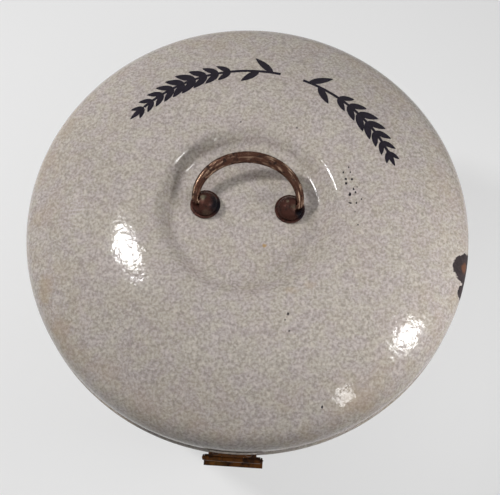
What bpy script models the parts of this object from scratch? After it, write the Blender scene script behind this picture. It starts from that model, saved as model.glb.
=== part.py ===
"""Round enamelled bread drum: a hinged, domed lid with a drop bail in its well, and a hasp at the front.

Metres, +Z up, origin at the centre of the flat base. The front, with the hasp, faces -Y. The hinge is at +Y.
"""

import math

import bmesh
import bpy
from mathutils import Matrix, Vector

COLLECTION = "bread_drum"
CUTTERS = "bread_drum_cutters"

# Sheet metal, clearances and the overrun of every cut
SHEET = 0.0014
SEAT_GAP = 0.0003
BORE_GAP = 0.0003
CUT_OVERRUN = 0.002
ROLLED_EDGE_RADIUS = 0.0016

# Drum
DRUM_HEIGHT = 0.203
DRUM_CORNER_RADIUS = 0.016
LID_DRUM_CLEARANCE = 0.0026

# Lid, whose rolled edge is the widest line of the object
LID_RIM_RADIUS = 0.170
SKIRT_HEIGHT = 0.012
SHOULDER_RADIUS = 0.022
DOME_RISE = 0.0377
WELL_RADIUS = 0.0698
WELL_DEPTH = 0.0105
WELL_LIP_ROUND = 0.011
WELL_FOOT_ROUND = 0.009
WELL_WALL_ANGLE = math.radians(42)

# Rosettes that hold the bail, each turned with its own shank, and what holds them under the well
ROSETTE_SPACING = 0.0619
ROSETTE_SETBACK = 0.0040
ROSETTE_RADIUS = 0.0111
ROSETTE_FLANGE = 0.0012
BOSS_RADIUS = 0.0093
BOSS_HEIGHT = 0.0098
SHANK_RADIUS = 0.0024
SHANK_STICKOUT = 0.0015
WASHER_RADIUS = 0.0068
WASHER_THICKNESS = 0.0010
NUT_ACROSS_FLATS = 0.0090
NUT_HEIGHT = 0.0036

# Bail
BAIL_SPAN = 0.0762
BAIL_REACH = 0.0345
BAIL_BEND_RADIUS = 0.0032
BAIL_CROWN_WIDTH = 0.0087
BAIL_CROWN_THICKNESS = 0.0042
BAIL_LEG_WIDTH = 0.0056
BAIL_END_DIAMETER = 0.0036
BAIL_END_DEPTH = 0.0060
BAIL_PIVOT_HEIGHT = 0.0052
BAIL_REST_ANGLE = math.radians(16)

# Leaves that are riveted to the lid's skirt
LEAF_THICKNESS = 0.0012
LID_LEAF_HEIGHT = 0.0085
LEAF_CORNER_RADIUS = 0.0025
LEAF_STRIP_WIDTH = 0.006

# Rear hinge
HINGE_LENGTH = 0.050
HINGE_KNUCKLES = 5
HINGE_PIN_RADIUS = 0.0014
HINGE_KNUCKLE_WALL = 0.0011
HINGE_DROP = 0.003
HINGE_DRUM_LEAF_HEIGHT = 0.018
HINGE_RIVET_INSET = 0.0080

# Hasp and its leaf on the lid
HASP_WIDTH = 0.0442
HASP_BARREL_LENGTH = 0.0400
HASP_LENGTH = 0.0300
HASP_SHOULDER = 0.0022
HASP_THICKNESS = 0.0014
HASP_BEND_RADIUS = 0.0030
HASP_LIP_REACH = 0.0050
HASP_LIP_SLOPE = math.radians(12)
HASP_PIN_RADIUS = 0.0011
HASP_KNUCKLE_WALL = 0.0009
HASP_DROP = 0.002
HASP_LEAF_WIDTH = 0.034
HASP_LEAF_KNUCKLE = 0.0150
HASP_RIVET_INSET = 0.0055
WINDOW_WIDTH = 0.0150
WINDOW_HEIGHT = 0.0090
WINDOW_DROP = 0.0190
WINDOW_CORNER_RADIUS = 0.0015

# Catch on the drum, whose hooked nose passes through the hasp's window
CATCH_PLATE_WIDTH = 0.034
CATCH_PLATE_HEIGHT = 0.016
CATCH_THICKNESS = 0.0012
CATCH_RIVET_INSET = 0.0052
NOSE_WIDTH = 0.0120
NOSE_HEIGHT = 0.0046
NOSE_REACH = 0.0082
NOSE_HOOK_THICKNESS = 0.0016
NOSE_HOOK_DROP = 0.0012
NOSE_SLOPE_RUN = 0.0034
NOSE_SLOPE_DROP = 0.0022

# Rivets and pin heads
RIVET_SHANK_RADIUS = 0.0013
RIVET_HEAD_RADIUS = 0.0027
RIVET_HEAD_HEIGHT = 0.0013
RIVET_TAIL_RADIUS = 0.0022
RIVET_TAIL_HEIGHT = 0.0009
PIN_HEAD_OVERHANG = 0.0009
PIN_HEAD_LENGTH = 0.0012

# Facets
SHELL_SEGMENTS = 64
KNUCKLE_SEGMENTS = 18
RIVET_SEGMENTS = 10
ROSETTE_SEGMENTS = 20
BOSS_STEPS = 6
BAIL_SECTION_POINTS = 10
BAIL_BEND_STEPS = 4
BAIL_ARCH_STEPS = 12
FACET_SHARE = math.cos(math.pi / SHELL_SEGMENTS)
MERGE_DISTANCE = 0.00001
SHARP_ANGLE = math.radians(40)
BAIL_SHARP_ANGLE = math.radians(60)

# Radii and heights that follow from the sizes above
SKIRT_INNER = LID_RIM_RADIUS - 2 * ROLLED_EDGE_RADIUS
SKIRT_OUTER = SKIRT_INNER + SHEET
DRUM_RIM_RADIUS = SKIRT_INNER - LID_DRUM_CLEARANCE
DRUM_INNER = DRUM_RIM_RADIUS - 2 * ROLLED_EDGE_RADIUS
DRUM_OUTER = DRUM_INNER + SHEET
DRUM_EDGE_CENTRE = (DRUM_RIM_RADIUS - ROLLED_EDGE_RADIUS, DRUM_HEIGHT - ROLLED_EDGE_RADIUS)

# The lid's shoulder rests on the drum's rolled edge, which sets the height of the lid's widest line
SHOULDER_CENTRE_RADIUS = SKIRT_OUTER - SHOULDER_RADIUS
SEAT_REACH = SHOULDER_RADIUS - SHEET - SEAT_GAP - ROLLED_EDGE_RADIUS
SEAT_RISE = math.sqrt(SEAT_REACH ** 2 - (DRUM_EDGE_CENTRE[0] - SHOULDER_CENTRE_RADIUS) ** 2)
WIDEST_HEIGHT = DRUM_EDGE_CENTRE[1] - SEAT_RISE
LID_EDGE_CENTRE = (LID_RIM_RADIUS - ROLLED_EDGE_RADIUS, WIDEST_HEIGHT - SKIRT_HEIGHT)
LID_EDGE_TOP = LID_EDGE_CENTRE[1] + ROLLED_EDGE_RADIUS
LID_RIVET_HEIGHT = WIDEST_HEIGHT - LID_LEAF_HEIGHT / 2
CREST_HEIGHT = WIDEST_HEIGHT + DOME_RISE
WELL_FLOOR_HEIGHT = CREST_HEIGHT - WELL_DEPTH
WELL_UNDERSIDE = WELL_FLOOR_HEIGHT - SHEET

# The dome is one arc, level at the well's lip and tangent to the shoulder's arc
DOME_RUN = SHOULDER_CENTRE_RADIUS - WELL_RADIUS
DOME_RADIUS = (DOME_RUN ** 2 + DOME_RISE ** 2 - SHOULDER_RADIUS ** 2) / (2 * (DOME_RISE - SHOULDER_RADIUS))
DOME_END_ANGLE = math.atan2(DOME_RUN, DOME_RADIUS - DOME_RISE)

# Joint axes, all along X, as distance from the drum's centre line and height
LEAF_FACE = LID_RIM_RADIUS + SEAT_GAP
HINGE_BARREL_RADIUS = HINGE_PIN_RADIUS + BORE_GAP + HINGE_KNUCKLE_WALL
HINGE_AXIS = (LEAF_FACE + HINGE_BARREL_RADIUS, LID_EDGE_CENTRE[1] - HINGE_DROP)
HASP_BARREL_RADIUS = HASP_PIN_RADIUS + BORE_GAP + HASP_KNUCKLE_WALL
HASP_AXIS = (LEAF_FACE + HASP_BARREL_RADIUS, LID_EDGE_CENTRE[1] - HASP_DROP)
BAIL_AXIS = (ROSETTE_SETBACK, WELL_FLOOR_HEIGHT + SEAT_GAP + BAIL_PIVOT_HEIGHT)

# Where the catch, the slots of the rosettes, the washers and the nuts follow from them
CATCH_HEIGHT = HASP_AXIS[1] - WINDOW_DROP
SLOT_START = BAIL_SPAN / 2 - BAIL_BEND_RADIUS - BORE_GAP
WASHER_TOP = WELL_UNDERSIDE - SEAT_GAP
NUT_TOP = WASHER_TOP - WASHER_THICKNESS - SEAT_GAP
SHANK_LENGTH = WELL_FLOOR_HEIGHT + SEAT_GAP - NUT_TOP + NUT_HEIGHT + SHANK_STICKOUT

# Sides of the drum, as turns about its centre line from +Y
REAR = 0.0
FRONT = math.pi

# Matrix that lays an outline's plane across X: its x along +Y, its y along +Z and its thickness along X
ACROSS = Matrix(((0, 0, 1, 0), (1, 0, 0, 0), (0, 1, 0, 0), (0, 0, 0, 1)))

# Finishes, as colour, roughness and metallic value
ENAMEL = ((0.42, 0.39, 0.37), 0.18, 0.0)
DARK_BRASS = ((0.12, 0.06, 0.025), 0.42, 1.0)
COPPERED = ((0.16, 0.09, 0.055), 0.38, 1.0)
RUSTED = ((0.07, 0.03, 0.022), 0.55, 0.8)
STEEL = ((0.30, 0.28, 0.26), 0.45, 1.0)


def clear_scene():
    """Remove whatever the scene holds."""
    for obj in list(bpy.data.objects):
        bpy.data.objects.remove(obj, do_unlink=True)


def new_material(name, finish):
    """Make a piece's own Principled material from its finish."""
    colour, roughness, metallic = finish
    material = bpy.data.materials.new(name)
    material.use_nodes = True
    shader = material.node_tree.nodes["Principled BSDF"]
    shader.inputs["Base Color"].default_value = (*colour, 1.0)
    shader.inputs["Roughness"].default_value = roughness
    shader.inputs["Metallic"].default_value = metallic
    material.diffuse_color = (*colour, 1.0)
    return material


def new_object(name, mesh, finish=None):
    """Put a mesh in the scene, with a material of its own if it is a piece and not a cutter."""
    obj = bpy.data.objects.new(name, mesh)
    if finish:
        bpy.data.collections[COLLECTION].objects.link(obj)
        mesh.materials.append(new_material(name, finish))
    else:
        bpy.data.collections[CUTTERS].objects.link(obj)
        obj.hide_render = True
        obj.display_type = 'WIRE'
    return obj


def combine(obj, operand, operation):
    """Cut an object with a hidden operand, or join the operand to it."""
    modifier = obj.modifiers.new(operand.name, 'BOOLEAN')
    modifier.operation = operation
    modifier.object = operand
    modifier.solver = 'EXACT'


def mesh_from_bmesh(name, bm):
    """Turn a bmesh into a mesh, with its faces pointing out."""
    bmesh.ops.recalc_face_normals(bm, faces=bm.faces)
    mesh = bpy.data.meshes.new(name)
    bm.to_mesh(mesh)
    bm.free()
    return mesh


def smooth(mesh, angle=SHARP_ANGLE):
    """Shade a mesh smooth but for its sharp edges."""
    mesh.shade_smooth()
    mesh.set_sharp_from_angle(angle=angle)


def arc(centre, radius, start, stop, steps):
    """Points on an arc about a centre, from one angle to another, measured from the first axis."""
    angles = [start + (stop - start) * step / steps for step in range(steps + 1)]
    return [(centre[0] + radius * math.cos(a), centre[1] + radius * math.sin(a)) for a in angles]


def turned(name, profile, segments, finish, closed=False):
    """Turn a profile of (radius, height) points about the object's own Z axis."""
    points = [profile[0]]
    for point in profile[1:]:
        if math.dist(point, points[-1]) > MERGE_DISTANCE:
            points.append(point)
    edges = [(index, index + 1) for index in range(len(points) - 1)]
    if closed:
        edges.append((len(points) - 1, 0))
    mesh = bpy.data.meshes.new(name)
    mesh.from_pydata([(radius, 0, height) for radius, height in points], edges, [])
    obj = new_object(name, mesh, finish)
    screw = obj.modifiers.new("turn", 'SCREW')
    screw.steps = segments
    screw.render_steps = segments
    screw.use_merge_vertices = True
    screw.merge_threshold = MERGE_DISTANCE
    screw.use_smooth_shade = True
    return obj


def rod(name, radius, length, segments, place):
    """A cutter or a joined part in the form of a cylinder along X."""
    bm = bmesh.new()
    bmesh.ops.create_cone(bm, cap_ends=True, segments=segments, radius1=radius, radius2=radius,
                          depth=length, matrix=Matrix.Rotation(math.pi / 2, 4, 'Y'))
    obj = new_object(name, mesh_from_bmesh(name, bm))
    obj.matrix_world = place
    return obj


def outline_mesh(name, points, thickness):
    """A closed plate from a flat outline in local X and Y, with its thickness along Z."""
    curve = bpy.data.curves.new(name, 'CURVE')
    curve.dimensions = '2D'
    curve.fill_mode = 'BOTH'
    curve.extrude = thickness / 2
    spline = curve.splines.new('POLY')
    spline.points.add(len(points) - 1)
    for point, (x, y) in zip(spline.points, points):
        point.co = (x, y, 0, 1)
    spline.use_cyclic_u = True
    flat = bpy.data.objects.new(name, curve)
    bpy.context.scene.collection.objects.link(flat)
    evaluated = flat.evaluated_get(bpy.context.evaluated_depsgraph_get())
    mesh = bpy.data.meshes.new_from_object(evaluated)
    bpy.data.objects.remove(flat)
    bpy.data.curves.remove(curve)
    bm = bmesh.new()
    bm.from_mesh(mesh)
    bpy.data.meshes.remove(mesh)
    bmesh.ops.remove_doubles(bm, verts=bm.verts, dist=MERGE_DISTANCE)
    return mesh_from_bmesh(name, bm)


def tab_outline(half_width, bottom, top, radius, round_top=True, corner_steps=3):
    """Outline of a leaf: square where its knuckles begin, round at the two corners of its free end."""
    free, plain = (top, bottom) if round_top else (bottom, top)
    turn = 1 if round_top else -1
    centre_height = free - turn * radius
    right = arc((half_width - radius, centre_height), radius, 0, turn * math.pi / 2, corner_steps)
    left = [(-x, height) for x, height in reversed(right)]
    return [(half_width, plain)] + right + left + [(-half_width, plain)]


def rounded_rectangle(half_width, bottom, top, radius, corner_steps=3):
    """Outline of a rectangle with round corners, centred across."""
    corners = [
        ((half_width - radius, bottom + radius), -math.pi / 2),
        ((half_width - radius, top - radius), 0),
        ((-half_width + radius, top - radius), math.pi / 2),
        ((-half_width + radius, bottom + radius), math.pi),
    ]
    points = []
    for centre, start in corners:
        points += arc(centre, radius, start, start + math.pi / 2, corner_steps)
    return points


def radial_place(side, angle, height):
    """Matrix that stands a piece's Z axis along a radius of the drum, pointing outwards."""
    turn = Matrix.Rotation(side - angle, 4, 'Z')
    return turn @ Matrix.Translation((0, 0, height)) @ Matrix.Rotation(-math.pi / 2, 4, 'X')


def axis_place(side, axis, across=0.0):
    """Matrix for a piece along X, on a joint axis given as its distance from the centre and its height."""
    return Matrix.Rotation(side, 4, 'Z') @ Matrix.Translation((across, axis[0], axis[1]))


def strap(name, outline, thickness, wall_radius, side, hug_height, flat_height, flat_face, finish):
    """A leaf that hugs a round wall at one end and stands flat and upright at its knuckles.

    The outline is measured along the wall and up. The leaf has the wall's curve at hug_height and past
    it, lies in the flat face at flat_height and past it, and passes from one to the other between them.
    """
    bm = bmesh.new()
    bm.from_mesh(outline_mesh(name, outline, thickness))
    half_width = max(x for x, _ in outline)
    strips = math.ceil(2 * half_width / LEAF_STRIP_WIDTH)
    cuts = [((2 * index / strips - 1) * half_width, Vector((1, 0, 0))) for index in range(1, strips)]
    cuts += [(hug_height, Vector((0, 1, 0))), (flat_height, Vector((0, 1, 0)))]
    for offset, normal in cuts:
        geometry = bm.verts[:] + bm.edges[:] + bm.faces[:]
        bmesh.ops.bisect_plane(bm, geom=geometry, plane_co=normal * offset, plane_no=normal)
    for vert in bm.verts:
        along, height, depth = vert.co.x, vert.co.y, vert.co.z + thickness / 2
        hug = min(max((height - flat_height) / (hug_height - flat_height), 0), 1)
        angle = along / wall_radius
        curved = Vector((math.sin(angle), math.cos(angle), 0)) * (wall_radius + SEAT_GAP + depth)
        flat = Vector((along, flat_face + depth, 0))
        vert.co = curved * hug + flat * (1 - hug) + Vector((0, 0, height))
    mesh = mesh_from_bmesh(name, bm)
    smooth(mesh)
    obj = new_object(name, mesh, finish)
    obj.matrix_world = Matrix.Rotation(side, 4, 'Z')
    return obj


def add_knuckles(obj, side, axis, barrel_radius, pin_radius, own_spans, other_spans):
    """Notch a leaf round its partner's knuckles, give it its own ones and bore them for the pin."""
    for start, stop in other_spans:
        length = stop - start + 2 * SEAT_GAP
        place = axis_place(side, axis, (start + stop) / 2)
        combine(obj, rod("notch", barrel_radius + SEAT_GAP, length, KNUCKLE_SEGMENTS, place), 'DIFFERENCE')
    for start, stop in own_spans:
        place = axis_place(side, axis, (start + stop) / 2)
        combine(obj, rod("knuckle", barrel_radius, stop - start, KNUCKLE_SEGMENTS, place), 'UNION')
    reach = max(stop for _, stop in own_spans) + CUT_OVERRUN
    bore = rod("bore", pin_radius + BORE_GAP, 2 * reach, KNUCKLE_SEGMENTS, axis_place(side, axis))
    combine(obj, bore, 'DIFFERENCE')


def pin(name, radius, barrel_length, side, axis, finish):
    """A hinge pin with a round head at each end of its barrel."""
    half = barrel_length / 2 + SEAT_GAP
    head = radius + PIN_HEAD_OVERHANG
    round_over = PIN_HEAD_LENGTH / 2
    tip = half + PIN_HEAD_LENGTH
    profile = [(0, tip)] + arc((head - round_over, tip - round_over), round_over, math.pi / 2, 0, 2)
    profile += [(head, half), (radius, half), (radius, -half), (head, -half)]
    profile += arc((head - round_over, round_over - tip), round_over, 0, -math.pi / 2, 2) + [(0, -tip)]
    obj = turned(name, profile, KNUCKLE_SEGMENTS, finish)
    obj.matrix_world = axis_place(side, axis) @ Matrix.Rotation(math.pi / 2, 4, 'Y')
    return obj


def rivet(name, side, angle, height, inner_face, outer_face, finish):
    """A domed rivet, from its flat tail inside a wall to its head on the leaf that it holds."""
    dome_radius = (RIVET_HEAD_RADIUS ** 2 + RIVET_HEAD_HEIGHT ** 2) / (2 * RIVET_HEAD_HEIGHT)
    dome_angle = math.asin(RIVET_HEAD_RADIUS / dome_radius)
    seat = outer_face + SEAT_GAP
    tail = inner_face * FACET_SHARE - SEAT_GAP
    dome_centre = (0, seat + RIVET_HEAD_HEIGHT - dome_radius)
    profile = arc(dome_centre, dome_radius, math.pi / 2, math.pi / 2 - dome_angle, 3)
    profile += [
        (RIVET_SHANK_RADIUS, seat),
        (RIVET_SHANK_RADIUS, tail),
        (RIVET_TAIL_RADIUS, tail),
        (RIVET_TAIL_RADIUS, tail - RIVET_TAIL_HEIGHT),
        (0, tail - RIVET_TAIL_HEIGHT),
    ]
    obj = turned(name, profile, RIVET_SEGMENTS, finish)
    obj.matrix_world = radial_place(side, angle, height)
    return obj


def drill_for_rivet(pieces, side, angle, height, wall_radius, leaf_thickness):
    """Drill a wall and the leaf on it for one rivet."""
    reach = SHEET + SEAT_GAP + leaf_thickness + CUT_OVERRUN
    place = radial_place(side, angle, height) @ Matrix.Translation((0, 0, wall_radius))
    for piece in pieces:
        drill = rod("rivet_drill", RIVET_SHANK_RADIUS + BORE_GAP, 2 * reach, RIVET_SEGMENTS,
                    place @ Matrix.Rotation(math.pi / 2, 4, 'Y'))
        combine(piece, drill, 'DIFFERENCE')


def riveted(names, side, spread, height, wall, wall_radii, leaf, leaf_thickness):
    """Fasten a leaf to a wall with a row of rivets, and give back the rivets.

    The names run from left to right as seen from the drum's centre line.
    """
    inner, outer = wall_radii
    rivets = []
    for index, name in enumerate(names):
        share = 2 * index / (len(names) - 1) - 1
        angle = share * spread / outer
        drill_for_rivet((wall, leaf), side, angle, height, outer, leaf_thickness)
        head_face = outer + SEAT_GAP + leaf_thickness
        rivets.append(rivet(name, side, angle, height, inner, head_face, DARK_BRASS))
    return rivets


def lid_profile():
    """The lid's sheet: well, lip, dome, shoulder, skirt and rolled edge, then back up its inside."""
    level = math.pi / 2
    wall = WELL_WALL_ANGLE
    rounds = WELL_LIP_ROUND + WELL_FOOT_ROUND
    wall_run = (WELL_DEPTH - rounds * (1 - math.cos(wall))) / math.tan(wall)
    floor_edge = WELL_RADIUS - rounds * math.sin(wall) - wall_run
    foot = (floor_edge, WELL_FLOOR_HEIGHT + WELL_FOOT_ROUND)
    lip = (WELL_RADIUS, CREST_HEIGHT - WELL_LIP_ROUND)
    dome = (WELL_RADIUS, CREST_HEIGHT - DOME_RADIUS)
    shoulder = (SHOULDER_CENTRE_RADIUS, WIDEST_HEIGHT)
    dome_end = level - DOME_END_ANGLE
    edge_start = math.acos((SKIRT_OUTER - LID_EDGE_CENTRE[0]) / ROLLED_EDGE_RADIUS)
    outside = [(0, WELL_FLOOR_HEIGHT)]
    outside += arc(foot, WELL_FOOT_ROUND, -level, -level + wall, 3)
    outside += arc(lip, WELL_LIP_ROUND, level + wall, level, 4)
    outside += arc(dome, DOME_RADIUS, level, dome_end, 6)
    outside += arc(shoulder, SHOULDER_RADIUS, dome_end, 0, 5)
    outside += arc(LID_EDGE_CENTRE, ROLLED_EDGE_RADIUS, edge_start, -math.pi, 6)
    inside = arc(shoulder, SHOULDER_RADIUS - SHEET, 0, dome_end, 4)
    inside += arc(dome, DOME_RADIUS - SHEET, dome_end, level, 4)
    inside += arc(lip, WELL_LIP_ROUND - SHEET, level, level + wall, 2)
    inside += arc(foot, WELL_FOOT_ROUND + SHEET, -level + wall, -level, 2)
    return outside + inside + [(0, WELL_UNDERSIDE)]


def drum_profile():
    """The drum's sheet: up its inside from the floor, round the rolled edge and down its outside."""
    corner = (DRUM_OUTER - DRUM_CORNER_RADIUS, DRUM_CORNER_RADIUS)
    edge_end = -math.acos((DRUM_OUTER - DRUM_EDGE_CENTRE[0]) / ROLLED_EDGE_RADIUS)
    profile = [(0, SHEET)]
    profile += arc(corner, DRUM_CORNER_RADIUS - SHEET, -math.pi / 2, 0, 3)
    profile += arc(DRUM_EDGE_CENTRE, ROLLED_EDGE_RADIUS, math.pi, edge_end, 6)
    profile += arc(corner, DRUM_CORNER_RADIUS, 0, -math.pi / 2, 5)
    return profile + [(0, 0)]


def make_hinge(drum, lid):
    """The rear hinge: a leaf on the drum, a leaf on the lid, the pin through both, and their rivets."""
    pitch = HINGE_LENGTH / HINGE_KNUCKLES
    starts = [pitch * index - HINGE_LENGTH / 2 for index in range(HINGE_KNUCKLES)]
    spans = [(start + SEAT_GAP / 2, start + pitch - SEAT_GAP / 2) for start in starts]
    drum_spans, lid_spans = spans[0::2], spans[1::2]
    half_width = HINGE_LENGTH / 2 - SEAT_GAP
    rivet_spread = HINGE_LENGTH / 2 - HINGE_RIVET_INSET

    lid_outline = tab_outline(half_width, HINGE_AXIS[1], WIDEST_HEIGHT, LEAF_CORNER_RADIUS)
    lid_leaf = strap("hinge_leaf_lid", lid_outline, LEAF_THICKNESS, SKIRT_OUTER, REAR,
                     WIDEST_HEIGHT - LID_LEAF_HEIGHT, LID_EDGE_TOP, LEAF_FACE, DARK_BRASS)
    add_knuckles(lid_leaf, REAR, HINGE_AXIS, HINGE_BARREL_RADIUS, HINGE_PIN_RADIUS, lid_spans, drum_spans)

    joggle_top = HINGE_AXIS[1] - HINGE_BARREL_RADIUS - SEAT_GAP
    joggle_bottom = joggle_top - (LEAF_FACE - DRUM_OUTER)
    leaf_bottom = joggle_bottom - HINGE_DRUM_LEAF_HEIGHT
    drum_outline = tab_outline(half_width, leaf_bottom, HINGE_AXIS[1], LEAF_CORNER_RADIUS, round_top=False)
    drum_leaf = strap("hinge_leaf_drum", drum_outline, LEAF_THICKNESS, DRUM_OUTER, REAR,
                      joggle_bottom, joggle_top, LEAF_FACE, DARK_BRASS)
    add_knuckles(drum_leaf, REAR, HINGE_AXIS, HINGE_BARREL_RADIUS, HINGE_PIN_RADIUS, drum_spans, lid_spans)

    names = ["left", "middle", "right"]
    lid_rivets = riveted([f"hinge_rivet_lid_{name}" for name in names], REAR, rivet_spread,
                         LID_RIVET_HEIGHT, lid, (SKIRT_INNER, SKIRT_OUTER), lid_leaf, LEAF_THICKNESS)
    drum_rivets = riveted([f"hinge_rivet_drum_{name}" for name in names], REAR, rivet_spread,
                          joggle_bottom - HINGE_DRUM_LEAF_HEIGHT / 2, drum, (DRUM_INNER, DRUM_OUTER),
                          drum_leaf, LEAF_THICKNESS)
    hinge_pin = pin("hinge_pin", HINGE_PIN_RADIUS, HINGE_LENGTH, REAR, HINGE_AXIS, DARK_BRASS)
    return [drum_leaf, hinge_pin] + drum_rivets, [lid_leaf] + lid_rivets


def make_hasp_leaf(lid, hasp_spans):
    """The leaf on the front of the lid's skirt that the hasp hangs from, with its rivets and pin."""
    outline = tab_outline(HASP_LEAF_WIDTH / 2, HASP_AXIS[1], WIDEST_HEIGHT, LEAF_CORNER_RADIUS)
    leaf = strap("hasp_leaf", outline, LEAF_THICKNESS, SKIRT_OUTER, FRONT,
                 WIDEST_HEIGHT - LID_LEAF_HEIGHT, LID_EDGE_TOP, LEAF_FACE, DARK_BRASS)
    half = HASP_LEAF_KNUCKLE / 2
    add_knuckles(leaf, FRONT, HASP_AXIS, HASP_BARREL_RADIUS, HASP_PIN_RADIUS, [(-half, half)], hasp_spans)
    rivet_spread = HASP_LEAF_WIDTH / 2 - HASP_RIVET_INSET
    rivets = riveted(["hasp_leaf_rivet_right", "hasp_leaf_rivet_left"], FRONT, rivet_spread,
                     LID_RIVET_HEIGHT, lid, (SKIRT_INNER, SKIRT_OUTER), leaf, LEAF_THICKNESS)
    hasp_pin = pin("hasp_pin", HASP_PIN_RADIUS, HASP_BARREL_LENGTH, FRONT, HASP_AXIS, DARK_BRASS)
    return [leaf, hasp_pin] + rivets


def make_hasp(hasp_spans):
    """The hasp: a plate that hangs from its knuckles, with a window for the catch and a finger lip."""
    bend = (HASP_BEND_RADIUS, HASP_BEND_RADIUS - HASP_LENGTH)
    path = [(0, 0)] + arc(bend, HASP_BEND_RADIUS, math.pi, 3 * math.pi / 2 - HASP_LIP_SLOPE, 4)
    lip_run = HASP_LIP_REACH - path[-1][0]
    path.append((HASP_LIP_REACH, path[-1][1] - lip_run * math.tan(HASP_LIP_SLOPE)))
    neck = HASP_PIN_RADIUS + PIN_HEAD_OVERHANG + SEAT_GAP
    path[1:1] = [(0, -neck), (0, -neck - HASP_SHOULDER)]
    halves = [HASP_BARREL_LENGTH / 2] * 2 + [HASP_WIDTH / 2] * (len(path) - 2)
    bm = bmesh.new()
    rows = [[bm.verts.new((side * half, y, z)) for half, (y, z) in zip(halves, path)] for side in (-1, 1)]
    for left, right, next_right, next_left in zip(rows[0], rows[1], rows[1][1:], rows[0][1:]):
        bm.faces.new((left, right, next_right, next_left))
    mesh = mesh_from_bmesh("hasp", bm)
    hasp = new_object("hasp", mesh, DARK_BRASS)
    hasp.matrix_world = axis_place(FRONT, HASP_AXIS)
    sheet = hasp.modifiers.new("sheet", 'SOLIDIFY')
    sheet.thickness = HASP_THICKNESS
    sheet.offset = 0
    sheet.use_even_offset = True

    window = rounded_rectangle(WINDOW_WIDTH / 2, -WINDOW_HEIGHT / 2, WINDOW_HEIGHT / 2, WINDOW_CORNER_RADIUS)
    cutter = new_object("window", outline_mesh("window", window, 2 * (HASP_THICKNESS + CUT_OVERRUN)))
    cutter.matrix_world = (axis_place(FRONT, (HASP_AXIS[0], HASP_AXIS[1] - WINDOW_DROP))
                           @ Matrix.Rotation(math.pi / 2, 4, 'X'))
    combine(hasp, cutter, 'DIFFERENCE')
    half = HASP_LEAF_KNUCKLE / 2
    add_knuckles(hasp, FRONT, HASP_AXIS, HASP_BARREL_RADIUS, HASP_PIN_RADIUS, hasp_spans, [(-half, half)])
    return hasp


def make_catch(drum):
    """The catch on the drum: a riveted plate whose hooked nose stands out for the hasp's window."""
    bottom, top = CATCH_HEIGHT - CATCH_PLATE_HEIGHT / 2, CATCH_HEIGHT + CATCH_PLATE_HEIGHT / 2
    outline = rounded_rectangle(CATCH_PLATE_WIDTH / 2, bottom, top, LEAF_CORNER_RADIUS)
    catch = strap("catch", outline, CATCH_THICKNESS, DRUM_OUTER, FRONT, top, top + CATCH_THICKNESS,
                  DRUM_OUTER, DARK_BRASS)
    root = SEAT_GAP + CATCH_THICKNESS / 2
    half = NOSE_HEIGHT / 2
    nose = [
        (root, -half),
        (NOSE_REACH - NOSE_HOOK_THICKNESS, -half),
        (NOSE_REACH - NOSE_HOOK_THICKNESS, -half - NOSE_HOOK_DROP),
        (NOSE_REACH, -half - NOSE_HOOK_DROP),
        (NOSE_REACH, half - NOSE_SLOPE_DROP),
        (NOSE_REACH - NOSE_SLOPE_RUN, half),
        (root, half),
    ]
    solid = new_object("nose", outline_mesh("nose", nose, NOSE_WIDTH))
    solid.matrix_world = axis_place(FRONT, (DRUM_OUTER, CATCH_HEIGHT)) @ ACROSS
    combine(catch, solid, 'UNION')
    rivet_spread = CATCH_PLATE_WIDTH / 2 - CATCH_RIVET_INSET
    rivets = riveted(["catch_rivet_right", "catch_rivet_left"], FRONT, rivet_spread, CATCH_HEIGHT,
                     drum, (DRUM_INNER, DRUM_OUTER), catch, CATCH_THICKNESS)
    return [catch] + rivets


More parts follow.
